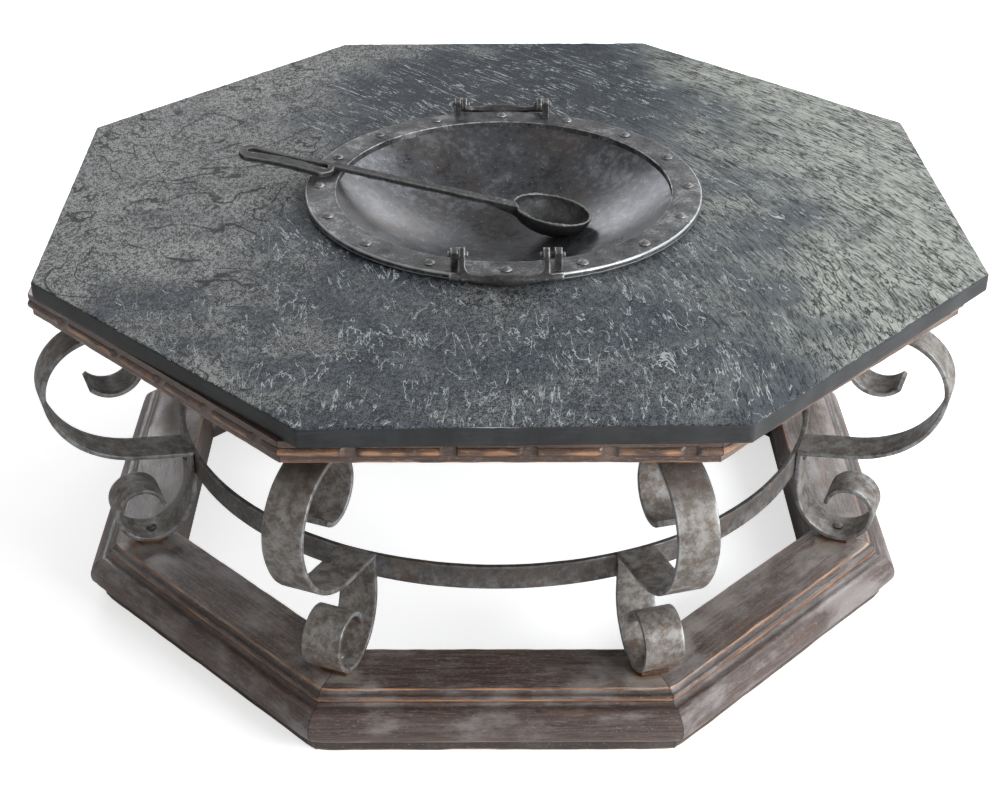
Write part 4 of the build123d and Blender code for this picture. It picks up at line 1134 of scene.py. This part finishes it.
pan.data.materials.append(pan_steel)

# ---- ring ----------------------------------------------------------------------------------------
# A flat steel ring is riveted over the pan's flange. It is mottled grey and black, and its upper
# outer edge is rubbed bright all round.
ring_low, ring_high = (corner.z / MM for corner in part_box("dish_ring"))
ring_outer, ring_inner = 250.0, 212.0
ring_arris, inner_arris = (ring_outer - 0.25, ring_high - 1.0), (ring_inner + 0.3, ring_high - 0.3)
ring_profile = np.array(
    straight_between((ring_inner, ring_low), (ring_outer - 0.4, ring_low), 4)
    + straight_between((ring_outer, ring_low + 0.5), (ring_outer, ring_high - 2.2), 4)
    + [(ring_outer, ring_high - 2.0), ring_arris, (ring_outer - 0.8, ring_high - 0.35),
       (ring_outer - 1.7, ring_high)]
    + straight_between((ring_outer - 3.0, ring_high), (ring_inner + 2.0, ring_high), 13)
    + [(ring_inner + 1.0, ring_high), inner_arris, (ring_inner, ring_high - 1.0)]
    + straight_between((ring_inner, ring_high - 2.2), (ring_inner, ring_low), 3))
ring_wear = np.maximum(profile_wear(ring_profile, [ring_arris, (ring_outer, ring_low)], 2.6),
                       0.45 * profile_wear(ring_profile, [inner_arris], 2.2))
around_ring = 420
rows = round_circle(around_ring, ring_profile[:, 0], ring_profile[:, 1])
dents = roughness_at(rows * MM, 0.012, 231, 3)
rows[:, :, 2] -= (0.14 * (dents + 0.6)).clip(0, 0.4) * (ring_profile[:, 1] > ring_high - 1.5)
nicks = (ring_wear[None, :] * (dents + 0.1)).clip(0, 1) * 0.9
rows[:, :, :2] *= (1 - nicks / ring_profile[:, 0])[:, :, None]
ring = skin("steel_ring", rows * MM, wrap_rows=True, marks={
    "edge": np.clip(ring_wear[None, :] * (1.0 + 0.5 * dents), 0, 1),
    "board": np.zeros(rows.shape[:2])}, sharp=60)


def make_black_iron(name, low, middle, high, edge_colour, wear, rough_low, rough_high):
    """Oiled black iron with rubbed edges, crumbs of rust and pale dust."""
    material, tree, shader = new_material(name)
    dust_grey = (0.30, 0.28, 0.25, 1)
    pit_black = (0.01, 0.009, 0.008, 1)
    place = own_place(tree)
    base = blotch(tree, place, 30.0, low, middle, high)
    rubbed = wear_mask(tree, place, 90.0, wear)
    colour = lay_over(tree, base["Color"], edge_colour, rubbed, 0.85)
    dust = fleck_mask(tree, place, 380.0, 0.2)
    colour = lay_over(tree, colour, dust_grey, dust, 0.45)
    pits = fleck_mask(tree, place, 250.0, 0.2)
    colour = lay_over(tree, colour, pit_black, pits, 0.5)
    relief = minus(tree, base["Height"], times(tree, pits, 0.4))
    feed(tree, shader, {"Base Color": colour, "Metallic": plus(tree, 0.35, times(tree, rubbed, 0.4)),
                        "Roughness": from_to(tree, base["Height"], 0.3, 0.7, rough_high, rough_low),
                        "Normal": bump_from(tree, relief, 0.4, 0.0009)})
    return material


ring_steel = make_black_iron("ring_steel", (0.018, 0.018, 0.018, 1), (0.080, 0.080, 0.081, 1),
                             (0.27, 0.27, 0.275, 1), (0.58, 0.60, 0.61, 1), 0.74, 0.32, 0.58)
ring.data.materials.append(ring_steel)
ring.matrix_world = Matrix.Translation((dish_x * MM, dish_y * MM, 0))
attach(ring, "dish")
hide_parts("dish_ring")

# ---- ring rivets ---------------------------------------------------------------------------------
# Sixteen rivets closed by hand: each head is a low uneven dome on a thin collar, rubbed bright where
# it stands highest.
rivet_steel = make_black_iron("rivet_steel", (0.04, 0.037, 0.034, 1), (0.10, 0.096, 0.09, 1),
                              (0.19, 0.185, 0.18, 1), (0.42, 0.42, 0.42, 1), 0.7, 0.34, 0.55)
forged_copy("steel_ring_rivets", "ring_rivets", "dish", rivet_steel, voxel=0.0008,
            uneven=0.0005, size=0.005, seed=51, soften=1)

# ---- lugs, pins and bails ------------------------------------------------------------------------
# Two bails hang in pairs of forged lugs tenoned through the ring. Each bail is drawn from one bar:
# flat arms with an eye, and a rounded grip that bows outward and is thickest in the middle.
bail_iron = make_black_iron("bail_iron", (0.022, 0.021, 0.021, 1), (0.055, 0.053, 0.052, 1),
                            (0.105, 0.10, 0.10, 1), (0.36, 0.36, 0.36, 1), 0.66, 0.36, 0.56)
for number, corner in enumerate(("front_left", "front_right", "back_left", "back_right")):
    forged_copy(f"forged_lug_{corner}", f"lug_{corner}", "dish", bail_iron, voxel=0.0007,
                uneven=0.0004, size=0.007, seed=61 + number)
forged_copy("forged_bail_pins", "bail_pins", "dish", bail_iron, voxel=0.0006,
            uneven=0.0001, size=0.005, seed=66, soften=1)
for number, side in enumerate(("front", "back")):
    forged_copy(f"forged_{side}_bail", f"bail_{side}", f"{side}_bail", bail_iron,
                voxel=0.0009, uneven=0.0005, size=0.014, seed=67 + number)

# ---- ladle ---------------------------------------------------------------------------------------
# Forged in one piece: an oval bowl, a square shaft that deepens at its root, and a long waisted loop
# to hang it by. It is black, with worn corners along the shaft and round the rim.
ladle_iron = make_black_iron("ladle_iron", (0.018, 0.018, 0.019, 1), (0.040, 0.040, 0.041, 1),
                             (0.080, 0.079, 0.078, 1), (0.24, 0.24, 0.235, 1), 0.62, 0.38, 0.6)
forged_copy("forged_ladle", "ladle", "ladle", ladle_iron, voxel=0.0012, uneven=0.0008,
            size=0.02, seed=71)
